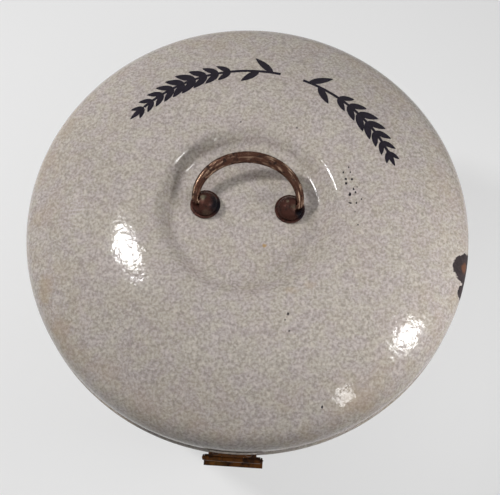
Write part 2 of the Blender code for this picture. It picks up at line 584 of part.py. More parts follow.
def make_rosette(name, lid, side):
    """A rosette, turned in one piece with its shank, slotted for the bail's leg and bored for its end."""
    dome_height = BOSS_HEIGHT - ROSETTE_FLANGE
    edge = ROSETTE_FLANGE / 2
    profile = [(BOSS_RADIUS * math.sin(a), ROSETTE_FLANGE + dome_height * math.cos(a))
               for a in [math.pi / 2 * step / BOSS_STEPS for step in range(BOSS_STEPS + 1)]]
    profile += arc((ROSETTE_RADIUS - edge, edge), edge, math.pi / 2, -math.pi / 2, 3)
    profile += [(SHANK_RADIUS, 0), (SHANK_RADIUS, -SHANK_LENGTH), (0, -SHANK_LENGTH)]
    rosette = turned(name, profile, ROSETTE_SEGMENTS, RUSTED)
    rosette.location = (side * ROSETTE_SPACING / 2, ROSETTE_SETBACK, WELL_FLOOR_HEIGHT + SEAT_GAP)

    room = BAIL_END_DIAMETER / 2 + BORE_GAP
    rise, run = math.sin(BAIL_REST_ANGLE), math.cos(BAIL_REST_ANGLE)
    far = 2 * ROSETTE_RADIUS
    top = BOSS_HEIGHT - BAIL_PIVOT_HEIGHT + CUT_OVERRUN
    floor = arc((0, 0), room, -math.pi / 2 - BAIL_REST_ANGLE, -math.pi / 2 + BAIL_REST_ANGLE, 4)
    rear_end = (floor[-1][0] + far * run, floor[-1][1] + far * rise)
    outline = floor + [rear_end, (rear_end[0], rear_end[1] + top), (-rear_end[0], rear_end[1] + top),
                       (-rear_end[0], rear_end[1])]
    slot_width = ROSETTE_SPACING / 2 + ROSETTE_RADIUS + CUT_OVERRUN - SLOT_START
    slot = new_object("slot", outline_mesh("slot", outline, slot_width))
    slot.matrix_world = Matrix.Translation((side * (SLOT_START + slot_width / 2), *BAIL_AXIS)) @ ACROSS
    combine(rosette, slot, 'DIFFERENCE')
    bore_length = BAIL_END_DEPTH + BORE_GAP + CUT_OVERRUN
    bore_centre = SLOT_START + CUT_OVERRUN - bore_length / 2
    place = Matrix.Translation((side * bore_centre, *BAIL_AXIS))
    combine(rosette, rod("bail_bore", room, bore_length, RIVET_SEGMENTS, place), 'DIFFERENCE')

    place = Matrix.Translation((side * ROSETTE_SPACING / 2, ROSETTE_SETBACK, WELL_FLOOR_HEIGHT))
    place = place @ Matrix.Rotation(math.pi / 2, 4, 'Y')
    drill = rod("shank_drill", SHANK_RADIUS + BORE_GAP, 2 * (SHEET + CUT_OVERRUN), RIVET_SEGMENTS, place)
    combine(lid, drill, 'DIFFERENCE')
    return rosette


def make_washer(name, side):
    """The washer under the well's floor, on a rosette's shank."""
    bore = SHANK_RADIUS + BORE_GAP
    profile = [(WASHER_RADIUS, 0), (WASHER_RADIUS, -WASHER_THICKNESS), (bore, -WASHER_THICKNESS), (bore, 0)]
    washer = turned(name, profile, ROSETTE_SEGMENTS, STEEL, closed=True)
    washer.location = (side * ROSETTE_SPACING / 2, ROSETTE_SETBACK, WASHER_TOP)
    return washer


def make_nut(name, side):
    """The six-sided nut that draws a rosette's shank up against its washer."""
    bm = bmesh.new()
    corner_radius = NUT_ACROSS_FLATS / 2 / math.cos(math.pi / 6)
    bmesh.ops.create_cone(bm, cap_ends=True, segments=6, radius1=corner_radius, radius2=corner_radius,
                          depth=NUT_HEIGHT)
    nut = new_object(name, mesh_from_bmesh(name, bm), STEEL)
    nut.location = (side * ROSETTE_SPACING / 2, ROSETTE_SETBACK, NUT_TOP - NUT_HEIGHT / 2)
    bore = rod("nut_bore", SHANK_RADIUS + BORE_GAP, NUT_HEIGHT + 2 * CUT_OVERRUN, RIVET_SEGMENTS,
               Matrix.Translation(nut.location) @ Matrix.Rotation(math.pi / 2, 4, 'Y'))
    combine(nut, bore, 'DIFFERENCE')
    return nut


def bail_stations():
    """Places along the right half of the bail, from its end in the rosette up to its crown.

    Each is a point and a direction in the bail's plane, with the width and thickness there.
    """
    leg = BAIL_SPAN / 2
    end_x = SLOT_START - BAIL_END_DEPTH
    stations = [(Vector((end_x, 0)), Vector((1, 0)), BAIL_END_DIAMETER, BAIL_END_DIAMETER)]
    for step in range(BAIL_BEND_STEPS + 1):
        share = step / BAIL_BEND_STEPS
        angle = share * math.pi / 2
        point = Vector((leg - BAIL_BEND_RADIUS + BAIL_BEND_RADIUS * math.sin(angle),
                        BAIL_BEND_RADIUS * (1 - math.cos(angle))))
        width = BAIL_END_DIAMETER + (BAIL_LEG_WIDTH - BAIL_END_DIAMETER) * share
        stations.append((point, Vector((math.cos(angle), math.sin(angle))), width, BAIL_END_DIAMETER))
    rise = BAIL_REACH - BAIL_BEND_RADIUS
    for step in range(1, BAIL_ARCH_STEPS + 1):
        angle = step / BAIL_ARCH_STEPS * math.pi / 2
        point = Vector((leg * math.cos(angle), BAIL_BEND_RADIUS + rise * math.sin(angle)))
        direction = Vector((-leg * math.sin(angle), rise * math.cos(angle))).normalized()
        swell = math.sin(angle)
        width = BAIL_LEG_WIDTH + (BAIL_CROWN_WIDTH - BAIL_LEG_WIDTH) * swell
        thickness = BAIL_END_DIAMETER + (BAIL_CROWN_THICKNESS - BAIL_END_DIAMETER) * swell
        stations.append((point, direction, width, thickness))
    return stations


def make_bail():
    """The bail: a bow lofted from round ends to a broad, flattened crown, with its origin on its axis."""
    right = bail_stations()
    left = [(Vector((-p.x, p.y)), Vector((d.x, -d.y)), w, t) for p, d, w, t in reversed(right[:-1])]
    bm = bmesh.new()
    rings = []
    for point, direction, width, thickness in right + left:
        across = Vector((direction.y, -direction.x))
        ring = []
        for index in range(BAIL_SECTION_POINTS):
            angle = 2 * math.pi * index / BAIL_SECTION_POINTS
            side = point + across * (math.cos(angle) * width / 2)
            ring.append(bm.verts.new((side.x, side.y, math.sin(angle) * thickness / 2)))
        rings.append(ring)
    for ring, following in zip(rings, rings[1:]):
        for index in range(BAIL_SECTION_POINTS):
            after = (index + 1) % BAIL_SECTION_POINTS
            bm.faces.new((ring[index], ring[after], following[after], following[index]))
    bm.faces.new(rings[0])
    bm.faces.new(list(reversed(rings[-1])))
    mesh = mesh_from_bmesh("bail", bm)
    smooth(mesh, BAIL_SHARP_ANGLE)
    bail = new_object("bail", mesh, COPPERED)
    bail.location = (0, *BAIL_AXIS)
    bail.rotation_euler.x = BAIL_REST_ANGLE
    return bail


def joint_empty(name, location):
    """An empty on a joint's axis, for the pieces that turn about it."""
    empty = bpy.data.objects.new(name, None)
    empty.empty_display_size = HINGE_LENGTH
    empty.location = location
    bpy.data.collections[COLLECTION].objects.link(empty)
    return empty


def hang(pieces, empty, empty_location):
    """Parent pieces to an empty and leave them where they are."""
    for piece in pieces:
        piece.parent = empty
        piece.matrix_parent_inverse = Matrix.Translation(-Vector(empty_location))


def main():
    """Build the bread drum."""
    clear_scene()
    for name in (COLLECTION, CUTTERS):
        bpy.context.scene.collection.children.link(bpy.data.collections.new(name))

    drum = turned("drum_shell", drum_profile(), SHELL_SEGMENTS, ENAMEL)
    lid = turned("lid_shell", lid_profile(), SHELL_SEGMENTS, ENAMEL)
    drum_pieces, lid_pieces = make_hinge(drum, lid)
    drum_pieces += make_catch(drum)

    knuckle_edge = HASP_LEAF_KNUCKLE / 2 + SEAT_GAP
    hasp_spans = [(-HASP_BARREL_LENGTH / 2, -knuckle_edge), (knuckle_edge, HASP_BARREL_LENGTH / 2)]
    lid_pieces += make_hasp_leaf(lid, hasp_spans)
    hasp = make_hasp(hasp_spans)
    for side, word in ((-1, "left"), (1, "right")):
        lid_pieces.append(make_rosette(f"rosette_{word}", lid, side))
        lid_pieces.append(make_washer(f"rosette_washer_{word}", side))
        lid_pieces.append(make_nut(f"rosette_nut_{word}", side))
    bail = make_bail()

    lid_place = (0, HINGE_AXIS[0], HINGE_AXIS[1])
    lid_axis = joint_empty("lid_axis", lid_place)
    hang([lid] + lid_pieces, lid_axis, lid_place)
    hang([bail, hasp], lid_axis, lid_place)


if __name__ == "__main__":
    main()
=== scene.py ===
"""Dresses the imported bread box: speckled enamel, a worn copper bail, rusted rosettes and an aged brass latch.

Metres, +Z up. The front, with the hasp, faces -Y, and the lid's hinge is at +Y.
"""

from functools import reduce
from math import acos, asin, atan2, copysign, cos, dist, hypot, pi, radians, sin, sqrt, tan

import bmesh
import bpy
from bpy.props import FloatProperty, FloatVectorProperty, PointerProperty
from bpy.types import NodeSocket, Operator, Panel, PropertyGroup, Scene
from mathutils import Euler, Matrix, Vector, noise


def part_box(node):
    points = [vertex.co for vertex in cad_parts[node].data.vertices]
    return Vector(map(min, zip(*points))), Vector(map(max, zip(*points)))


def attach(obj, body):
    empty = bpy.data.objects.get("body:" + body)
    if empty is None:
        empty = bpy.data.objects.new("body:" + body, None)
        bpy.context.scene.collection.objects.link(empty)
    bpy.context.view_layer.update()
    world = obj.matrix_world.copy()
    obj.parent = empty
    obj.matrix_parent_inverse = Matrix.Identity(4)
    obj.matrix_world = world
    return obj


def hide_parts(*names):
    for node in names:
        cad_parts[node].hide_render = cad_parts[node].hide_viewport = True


bl_info = {
    "name": "Enamel Bread Box",
    "version": (1, 0, 0),
    "blender": (4, 5, 0),
    "location": "View3D > Sidebar > Bread Box",
    "description": "Dresses a round enamelled bread box with its lid, bail, latch and hinge",
    "category": "Object",
}

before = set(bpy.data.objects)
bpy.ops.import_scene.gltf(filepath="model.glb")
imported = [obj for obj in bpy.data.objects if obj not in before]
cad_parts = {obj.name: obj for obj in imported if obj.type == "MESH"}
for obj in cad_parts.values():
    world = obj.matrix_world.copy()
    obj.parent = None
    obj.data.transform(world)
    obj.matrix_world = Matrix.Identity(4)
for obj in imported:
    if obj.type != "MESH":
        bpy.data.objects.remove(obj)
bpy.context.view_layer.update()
QUARTER = pi / 2

# Sizes of the CAD part that the pieces are fitted to
SHEET = 0.0014
SEAT_GAP = 0.0003
BORE_GAP = 0.0003
ROLLED_EDGE_RADIUS = 0.0016
LID_RIM_RADIUS = 0.170
LID_DRUM_CLEARANCE = 0.0026
SKIRT_OUTER = LID_RIM_RADIUS - 2 * ROLLED_EDGE_RADIUS + SHEET
SKIRT_INNER = SKIRT_OUTER - SHEET
SHOULDER_RADIUS = 0.022
DOME_RISE = 0.0377
WELL_RADIUS = 0.0698
WELL_DEPTH = 0.0105
WELL_LIP_ROUND = 0.011
WELL_FOOT_ROUND = 0.009
WELL_WALL_ANGLE = radians(42)
CREST_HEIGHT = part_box("lid_shell")[1][2]
WIDEST_HEIGHT = CREST_HEIGHT - DOME_RISE
WELL_FLOOR_HEIGHT = CREST_HEIGHT - WELL_DEPTH
LID_EDGE_CENTRE = (LID_RIM_RADIUS - ROLLED_EDGE_RADIUS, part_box("lid_shell")[0][2] + ROLLED_EDGE_RADIUS)
SHOULDER_CENTRE_RADIUS = SKIRT_OUTER - SHOULDER_RADIUS
DOME_RUN = SHOULDER_CENTRE_RADIUS - WELL_RADIUS
DOME_RADIUS = (DOME_RUN ** 2 + DOME_RISE ** 2 - SHOULDER_RADIUS ** 2) / (2 * (DOME_RISE - SHOULDER_RADIUS))
DOME_END_ANGLE = atan2(DOME_RUN, DOME_RADIUS - DOME_RISE)

DRUM_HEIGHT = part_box("drum_shell")[1][2]
DRUM_CORNER_RADIUS = 0.016
DRUM_RIM_RADIUS = SKIRT_INNER - LID_DRUM_CLEARANCE
DRUM_INNER = DRUM_RIM_RADIUS - 2 * ROLLED_EDGE_RADIUS
DRUM_OUTER = DRUM_INNER + SHEET
DRUM_EDGE_CENTRE = (DRUM_RIM_RADIUS - ROLLED_EDGE_RADIUS, DRUM_HEIGHT - ROLLED_EDGE_RADIUS)

ROSETTE_SPACING = 0.0619
ROSETTE_SETBACK = 0.0040
ROSETTE_RADIUS = 0.0111
ROSETTE_FLANGE = 0.0012
ROSETTE_SEAT = WELL_FLOOR_HEIGHT + SEAT_GAP
BOSS_RADIUS = 0.0093
BOSS_HEIGHT = 0.0098
SHANK_RADIUS = 0.0024
SHANK_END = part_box("rosette_left")[0][2]
BAIL_SPAN = 0.0762
BAIL_REACH = 0.0345
BAIL_BEND_RADIUS = 0.0032
BAIL_CROWN_WIDTH = 0.0087
BAIL_CROWN_THICKNESS = 0.0036
BAIL_LEG_WIDTH = 0.0056
BAIL_END_DIAMETER = 0.0036
BAIL_END_DEPTH = 0.0060
BAIL_PIVOT_HEIGHT = 0.0052
BAIL_REST_ANGLE = radians(16)
BAIL_AXIS = (ROSETTE_SETBACK, ROSETTE_SEAT + BAIL_PIVOT_HEIGHT)
SLOT_START = BAIL_SPAN / 2 - BAIL_BEND_RADIUS - BORE_GAP

RIVET_SHANK_RADIUS = 0.0013
RIVET_HEAD_RADIUS = 0.0027
RIVET_HEAD_HEIGHT = 0.0013
RIVET_TAIL_RADIUS = 0.0022
RIVET_TAIL_HEIGHT = 0.0009
LEAF_THICKNESS = 0.0012

# Fineness of the dressed pieces
SHELL_SEGMENTS = 192
ROUND_SEGMENTS = 48
RIVET_SEGMENTS = 24
BAIL_STEPS = 48
BAIL_BEND_STEPS = 8
BAIL_SECTION_POINTS = 24
BLADE_STEP = 0.0012
STALK_STRIPS = 26
SPECK_POINTS = 12
TINY = 1e-7

# Broken edges, and the small rounds where a rosette's parts meet
HASP_BEVEL = 0.00025
LEAF_BEVEL = 0.00020
PIN_BEVEL = 0.00010
WASHER_BEVEL = 0.00015
NUT_BEVEL = 0.00030
FLANGE_STEP = 0.0003
FLANGE_LIFT = 0.00005
SLOT_OVERRUN = 0.002

# How far the pressed sheet strays from a true dome, and over what distance
WARP_DEPTH = 0.00016
WARP_LENGTH = 0.055

# How square the bail is at the end of its bends and at its crown, and its forged dents
BEND_SQUARENESS = 0.25
CROWN_SQUARENESS = 0.60
DENT_DEPTH = 0.02
DENTS_PER_METRE = 190

# Shares of an ear's reach: its stalk, where its grains start, how far they go, and where they are longest
STALK_SHARE = 0.94
STRIP_OVERLAP = 0.12
EAR_START = 0.32
EAR_SHARE = 0.62
EAR_MIDDLE = 0.55
GRAIN_TAPER = 0.45
GRAIN_LEAN = radians(32)
LEAF_LEAN = radians(38)
# An ear's two leaves: side of the stalk, share of the reach, and length
LEAVES = ((1, 0.05, 0.020), (-1, 0.14, 0.017))

# Specks on the lid, in millimetres: across and along from its centre, then half their own width and length
SPECKS = (
    (72.2, 35.6, 0.5, 0.9), (68.2, 31.3, 0.5, 0.9), (73.3, 31.8, 0.4, 0.9), (70.1, 26.1, 0.8, 1.1),
    (70.5, 22.7, 0.8, 1.1), (74.7, 26.2, 0.8, 1.1), (76, 18.8, 0.7, 0.9), (77.5, 16.3, 0.6, 0.8),
    (78.5, 20.6, 0.5, 0.4), (73.4, 14.4, 1, 1.6), (81.9, 11.3, 0.5, 0.7), (73.9, 7.7, 1.2, 0.6),
    (78.2, 8.1, 0.5, 1), (77.3, 1.2, 0.4, 0.5), (79.7, -8.5, 0.5, 0.6), (32.9, -76.1, 0.7, 1),
    (31.1, -80.3, 0.5, 0.6), (34.2, -87.6, 0.5, 0.7), (59.4, -135.8, 0.8, 0.9), (-8.8, 67.5, 0.5, 0.6),
    (33.1, 65.1, 0.5, 0.6),
)

# Finishes that materials share
FLECK_MIDDLE = 0.535
PEEL_PER_METRE = 300.0
WAVES_PER_METRE = 95.0
STAINED_WIDTH = 0.050
METAL_SPECULAR = 0.15
INK_SPECULAR = 0.20
BAIL_LINES_ACROSS = 27.0
BAIL_LINES_ALONG = 3.0


def colour(name, description, default):
    """A colour that the user can change."""
    return FloatVectorProperty(name=name, description=description, subtype='COLOR', size=3, min=0, max=1,
                               default=default)


def number(name, description, default, kind, low=0, high=1000):
    """A size, angle, power or share that the user can change."""
    return FloatProperty(name=name, description=description, subtype=kind, default=default, min=low, max=high)


class EnamelLook(PropertyGroup):
    """The speckled enamel of the lid and the drum."""

    pale: colour("Pale Fleck", "Colour of the enamel's pale flecks", (0.564, 0.505, 0.460))
    grey: colour("Grey Ground", "Colour of the enamel between the flecks", (0.311, 0.271, 0.245))
    fleck_size: number("Fleck Size", "Distance from fleck to fleck", 0.0020, 'DISTANCE', 0.0005, 0.02)
    peel_depth: number("Peel Depth", "Depth of the fired surface's waves", 0.00012, 'DISTANCE', 0, 0.001)
    roughness: number("Roughness", "Roughness of the enamel's gloss", 0.11, 'FACTOR', 0, 1)
    stain: colour("Stain", "Colour of the rusty yellow stains", (0.36, 0.25, 0.14))
    spot: colour("Rust Spot", "Colour of the small rust spot in the well", (0.40, 0.25, 0.09))
    bare: colour("Bare Iron", "Colour of the iron where enamel is chipped off", (0.034, 0.021, 0.023))
    chip_rust: colour("Chip Rust", "Colour of the rust in the chips", (0.125, 0.050, 0.026))
    ink: colour("Stencil", "Colour of the stencilled wheat and of the specks", (0.008, 0.0055, 0.011))


class MetalLook(PropertyGroup):
    """The bail, the rosettes, the latch, the hinge and their fastenings."""

    copper: colour("Copper", "Colour of the bail's worn copper", (0.072, 0.032, 0.021))
    bright: colour("Rubbed Copper", "Colour where hands have rubbed the bail", (0.52, 0.36, 0.25))
    rust: colour("Rust", "Colour of the rust on the bail and the rosettes", (0.016, 0.007, 0.005))
    rosette: colour("Rosette", "Colour of the rosettes' brown iron", (0.060, 0.023, 0.017))
    # Painted shade: the dark colour painted on each rosette's right side
    painted_shade: colour("Painted Shade", "Colour of the black patches on the rosettes", (0.006, 0.006, 0.010))
    # Painted highlight: this colour paints the glints near each rosette's top, and also two faint olive patches
    worn: colour("Worn Iron", "Colour of the worn places on the rosettes", (0.230, 0.200, 0.140))
    brass: colour("Aged Brass", "Colour of the latch and the hinge", (0.086, 0.031, 0.007))
    # Painted light: the lighter colour painted on the hasp's left part, where light falls from the left
    lit_brass: colour("Lit Brass", "Colour where the latch is handled", (0.150, 0.068, 0.016))
    tarnish: colour("Tarnish", "Colour of the brass's dark patches", (0.020, 0.007, 0.003))
    steel: colour("Steel", "Colour of the nuts and washers", (0.42, 0.40, 0.37))
    patch_size: number("Patch Size", "Size of the patches of rust", 0.0035, 'DISTANCE', 0.0005, 0.05)


class WheatLook(PropertyGroup):
    """The stencilled ears of wheat on the lid."""

    arc_radius: number("Arc Radius", "Distance of the stalks from the lid's centre", 0.114, 'DISTANCE', 0.08, 0.14)
    gap: number("Gap", "Angle between the two ears' stalks", radians(9), 'ANGLE', 0, 1)
    left_reach: number("Left Reach", "Angle that the left ear covers", radians(60), 'ANGLE', 0.2, 1.5)
    right_reach: number("Right Reach", "Angle that the right ear covers", radians(47), 'ANGLE', 0.2, 1.5)
    turn: number("Turn", "Direction between the ears, from the hinge", radians(14), 'ANGLE', -1, 1)
    pitch: number("Pitch", "Angle from one pair of grains to the next", radians(4.1), 'ANGLE', 0.02, 0.5)
    grain_length: number("Grain Length", "Length of the longest grains", 0.0165, 'DISTANCE', 0.002, 0.03)
    grain_width: number("Grain Width", "Width of the longest grains", 0.0060, 'DISTANCE', 0.001, 0.02)
    line_width: number("Line Width", "Width of the stalks", 0.0023, 'DISTANCE', 0.0003, 0.01)
    lift: number("Lift", "Thickness of the stencilled colour", 0.00005, 'DISTANCE', 0, 0.001)


class StageLook(PropertyGroup):
    """Floor, lamps and camera."""

    floor: colour("Floor", "Colour of the floor", (0.80, 0.80, 0.80))
    backdrop: number("Backdrop", "How far the floor shows as plain white to the camera", 0.60, 'FACTOR', 0, 1)
    camera_place: FloatVectorProperty(
        name="Camera Place", description="Where the camera stands", subtype='TRANSLATION', size=3,
        default=(0.01443, -0.18276, 0.71405))
    camera_turn: FloatVectorProperty(
        name="Camera Turn", description="How the camera is turned", subtype='EULER', size=3,
        default=[radians(a) for a in (17.539, 0.125, 3.532)])
    lens: number("Lens", "Focal length on a 36 mm wide sensor, in millimetres", 51.84, 'NONE', 10, 200)
    key: number("Key", "Power of the lamp at the upper left, which casts the bail's shadow", 6.9, 'POWER')
    top: number("Top", "Power of the large soft lamp above", 0.42, 'POWER')
    back: number("Back", "Power of the soft lamp behind", 0.15, 'POWER')
    right: number("Right", "Power of the low lamp at the right", 0.80, 'POWER')
    fill: number("Fill", "Power of the large lamp at the front", 1.7, 'POWER')
    surround: number("Surround", "Brightness of the pale surround, where 1 is white", 0.75, 'FACTOR', 0, 1)
    room: number("Room", "Strength of the even light from all round", 0.04, 'NONE')
    gloss: number("Gloss", "Power of the lamps that show only in the gloss", 0.4, 'POWER')


def look(kind):
    """The settings of one kind that the user can change."""
    return getattr(bpy.context.scene, f"bread_box_{kind}")


def arc(centre, radius, start, stop, steps):
    """Points on an arc about a centre, from one angle to another, measured from the first axis."""
    angles = [start + (stop - start) * step / steps for step in range(steps + 1)]
    return [(centre[0] + radius * cos(a), centre[1] + radius * sin(a)) for a in angles]


def link(name, data):
    """Put a mesh, lamp or camera into the scene."""
    thing = bpy.data.objects.new(name, data)
    bpy.context.scene.collection.objects.link(thing)
    return thing


def to_mesh(name, bm):
    """Turn a bmesh into a mesh."""
    mesh = bpy.data.meshes.new(name)
    bm.to_mesh(mesh)
    bm.free()
    return mesh


def make_piece(name, bm, body, material, nodes, sharp=40):
    """Turn a bmesh into a piece that rides on a body and stands for CAD nodes."""
    bmesh.ops.recalc_face_normals(bm, faces=bm.faces)
    mesh = to_mesh(name, bm)
    mesh.shade_smooth()
    mesh.set_sharp_from_angle(angle=radians(sharp))
    mesh.materials.append(material)
    piece = link(name, mesh)
    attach(piece, body)
    if nodes:
        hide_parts(*nodes)
    return piece


def bridge(bm, row, following, around=True):
    """Fill the band between two rows of points, either of which can be one point."""
    count = max(len(row), len(following))
    for index in range(count if around else count - 1):
        after = (index + 1) % count
        corners = [row[index % len(row)], row[after % len(row)],
                   following[after % len(following)], following[index % len(following)]]
        corners = list(dict.fromkeys(corners))
        if len(corners) > 2:
            bm.faces.new(corners)


def lathe(profile, segments, place=Matrix.Identity(4)):
    """A turned form, from a profile of (radius, height) points about Z."""
    bm = bmesh.new()
    rings = []
    for radius, height in profile:
        turns = [2 * pi * index / segments for index in range(segments if radius > TINY else 1)]
        rings.append([bm.verts.new(place @ Vector((radius * cos(a), radius * sin(a), height)))
                      for a in turns])
    for ring, following in zip(rings, rings[1:]):
        bridge(bm, ring, following)
    return bm


def warp(x, y):
    """How far the pressed lid strays up or down at a place, fading out at the well and the shoulder."""
    share = min(max((hypot(x, y) - WELL_RADIUS) / DOME_RUN, 0), 1)
    return WARP_DEPTH * sin(pi * share) * noise.noise(Vector((x, y, 0)) / WARP_LENGTH)


def lid_height(radius):
    """Height of the lid's upper face at a distance from its centre, outside the well."""
    if radius <= WELL_RADIUS:
        return CREST_HEIGHT
    if radius <= WELL_RADIUS + DOME_RADIUS * sin(DOME_END_ANGLE):
        return CREST_HEIGHT - DOME_RADIUS + sqrt(DOME_RADIUS ** 2 - (radius - WELL_RADIUS) ** 2)
    return WIDEST_HEIGHT + sqrt(max(SHOULDER_RADIUS ** 2 - (radius - SHOULDER_CENTRE_RADIUS) ** 2, 0))


def on_lid(x, y, lift):
    """A point on the lid's upper face, lifted off it."""
    return Vector((x, y, lid_height(hypot(x, y)) + warp(x, y) + lift))


def lid_profile():
    """The lid's sheet: well, lip, dome, shoulder, skirt and rolled edge, then back up its inside."""
    wall = WELL_WALL_ANGLE
    rounds = WELL_LIP_ROUND + WELL_FOOT_ROUND
    wall_run = (WELL_DEPTH - rounds * (1 - cos(wall))) / tan(wall)
    floor_edge = WELL_RADIUS - rounds * sin(wall) - wall_run
    foot = (floor_edge, WELL_FLOOR_HEIGHT + WELL_FOOT_ROUND)
    lip = (WELL_RADIUS, CREST_HEIGHT - WELL_LIP_ROUND)
    dome = (WELL_RADIUS, CREST_HEIGHT - DOME_RADIUS)
    shoulder = (SHOULDER_CENTRE_RADIUS, WIDEST_HEIGHT)
    dome_end = QUARTER - DOME_END_ANGLE
    edge_start = acos((SKIRT_OUTER - LID_EDGE_CENTRE[0]) / ROLLED_EDGE_RADIUS)
    profile = [(floor_edge * share, WELL_FLOOR_HEIGHT) for share in (0, 0.25, 0.5, 0.75)]
    for centre, radius, start, stop, steps in (
            (foot, WELL_FOOT_ROUND, -QUARTER, wall - QUARTER, 8),
            (lip, WELL_LIP_ROUND, QUARTER + wall, QUARTER, 8),
            (dome, DOME_RADIUS, QUARTER, dome_end, 24),
            (shoulder, SHOULDER_RADIUS, dome_end, 0, 14),
            (LID_EDGE_CENTRE, ROLLED_EDGE_RADIUS, edge_start, -pi, 12),
            (shoulder, SHOULDER_RADIUS - SHEET, 0, dome_end, 10),
            (dome, DOME_RADIUS - SHEET, dome_end, QUARTER, 16),
            (lip, WELL_LIP_ROUND - SHEET, QUARTER, QUARTER + wall, 5),
            (foot, WELL_FOOT_ROUND + SHEET, wall - QUARTER, -QUARTER, 5)):
        points = arc(centre, radius, start, stop, steps)
        profile += points[1:] if dist(profile[-1], points[0]) < TINY else points
    return profile + [(0, WELL_FLOOR_HEIGHT - SHEET)]


def drum_profile():
    """The drum's sheet: up its inside from the floor, round the rolled edge and down its outside."""
    corner = (DRUM_OUTER - DRUM_CORNER_RADIUS, DRUM_CORNER_RADIUS)
    edge_end = -acos((DRUM_OUTER - DRUM_EDGE_CENTRE[0]) / ROLLED_EDGE_RADIUS)
    wall = [DRUM_CORNER_RADIUS + (DRUM_EDGE_CENTRE[1] - DRUM_CORNER_RADIUS) * share
            for share in (0.2, 0.4, 0.6, 0.8)]
    profile = [(corner[0] * share, SHEET) for share in (0, 0.33, 0.67)]
    profile += arc(corner, DRUM_CORNER_RADIUS - SHEET, -QUARTER, 0, 10)
    profile += [(DRUM_INNER, height) for height in wall]
    profile += arc(DRUM_EDGE_CENTRE, ROLLED_EDGE_RADIUS, pi, edge_end, 14)
    profile += [(DRUM_OUTER, height) for height in reversed(wall)]
    profile += arc(corner, DRUM_CORNER_RADIUS, 0, -QUARTER, 10)
    return profile + [(corner[0] * share, 0) for share in (0.67, 0.33, 0)]


def connect(tree, node, inputs):
    """Link a node's inputs to other nodes' outputs, or give them plain values."""
    for key, value in inputs.items():
        socket = node.inputs[key]
        if isinstance(value, NodeSocket):
            tree.links.new(value, socket)
        else:
            socket.default_value = (*value, 1.0) if socket.type == 'RGBA' else value


def add(tree, kind, inputs, **settings):
    """Add a shader node with its settings and inputs, and give back its outputs."""
    node = tree.nodes.new(f'ShaderNode{kind}')
    for name, value in settings.items():
        setattr(node, name, value)
    connect(tree, node, inputs)
    return node.outputs


def maths(tree, operation, *values, clamp=False):
    """A Math node's result."""
    return add(tree, 'Math', dict(enumerate(values)), operation=operation, use_clamp=clamp)[0]


def vector(tree, operation, *values):
    """A Vector Math node's result."""
    outputs = add(tree, 'VectorMath', dict(enumerate(values)), operation=operation)
    return outputs["Value" if operation == 'LENGTH' else "Vector"]


def grain(tree, where, scale, detail, roughness=0.5, distortion=0.0):
    """A Noise texture's value."""
    return add(tree, 'TexNoise', {"Vector": where, "Scale": scale, "Detail": detail, "Roughness": roughness,
                                  "Distortion": distortion})["Fac"]


def remap(tree, value, low=0.0, high=1.0, start=0.0, stop=1.0, kind='LINEAR'):
    """A value's way from low to high, as one from start to stop."""
    return add(tree, 'MapRange', {"Value": value, "From Min": low, "From Max": high, "To Min": start,
                                  "To Max": stop}, interpolation_type=kind)["Result"]


def ramp(tree, value, low, high):
    """A smooth step of a value from 0 at low to 1 at high."""
    return remap(tree, value, low, high, kind='SMOOTHSTEP')


def blend(tree, factor, first, second):
    """A mix of two colours."""
    return add(tree, 'Mix', {0: factor, 6: first, 7: second}, data_type='RGBA')[2]


def bump(tree, height, strength, distance):
    """The normal that a height gives."""
    return add(tree, 'Bump', {"Height": height, "Strength": strength, "Distance": distance})["Normal"]


def object_place(tree):
    """The place on the object."""
    return add(tree, 'TexCoord', {})["Object"]


def lay_out(tree):
    """Set a tree's nodes out in columns, each to the right of those that feed it."""
    columns = dict.fromkeys(tree.nodes.keys(), 0)
    for _ in tree.nodes:
        for wire in tree.links:
            columns[wire.to_node.name] = max(columns[wire.to_node.name], columns[wire.from_node.name] + 1)
    filled = {}
    for name, column in columns.items():
        filled[column] = filled.get(column, 0) + 1
        tree.nodes[name].location = (220 * column, -260 * filled[column])


def new_group(name, *inputs):
    """Start a shader node group with named inputs, and give back its tree and their sockets."""
    tree = bpy.data.node_groups.new(name, 'ShaderNodeTree')
    for label, kind, value in inputs:
        tree.interface.new_socket(label, in_out='INPUT', socket_type=f'NodeSocket{kind}').default_value = value
    return tree, tree.nodes.new('NodeGroupInput').outputs


def end_group(tree, *outputs):
    """Finish a shader node group with its named outputs."""
    for label, kind, _ in outputs:
        tree.interface.new_socket(label, in_out='OUTPUT', socket_type=f'NodeSocket{kind}')
    made = tree.nodes.new('NodeGroupOutput')
    connect(tree, made, {label: value for label, _, value in outputs})
    lay_out(tree)


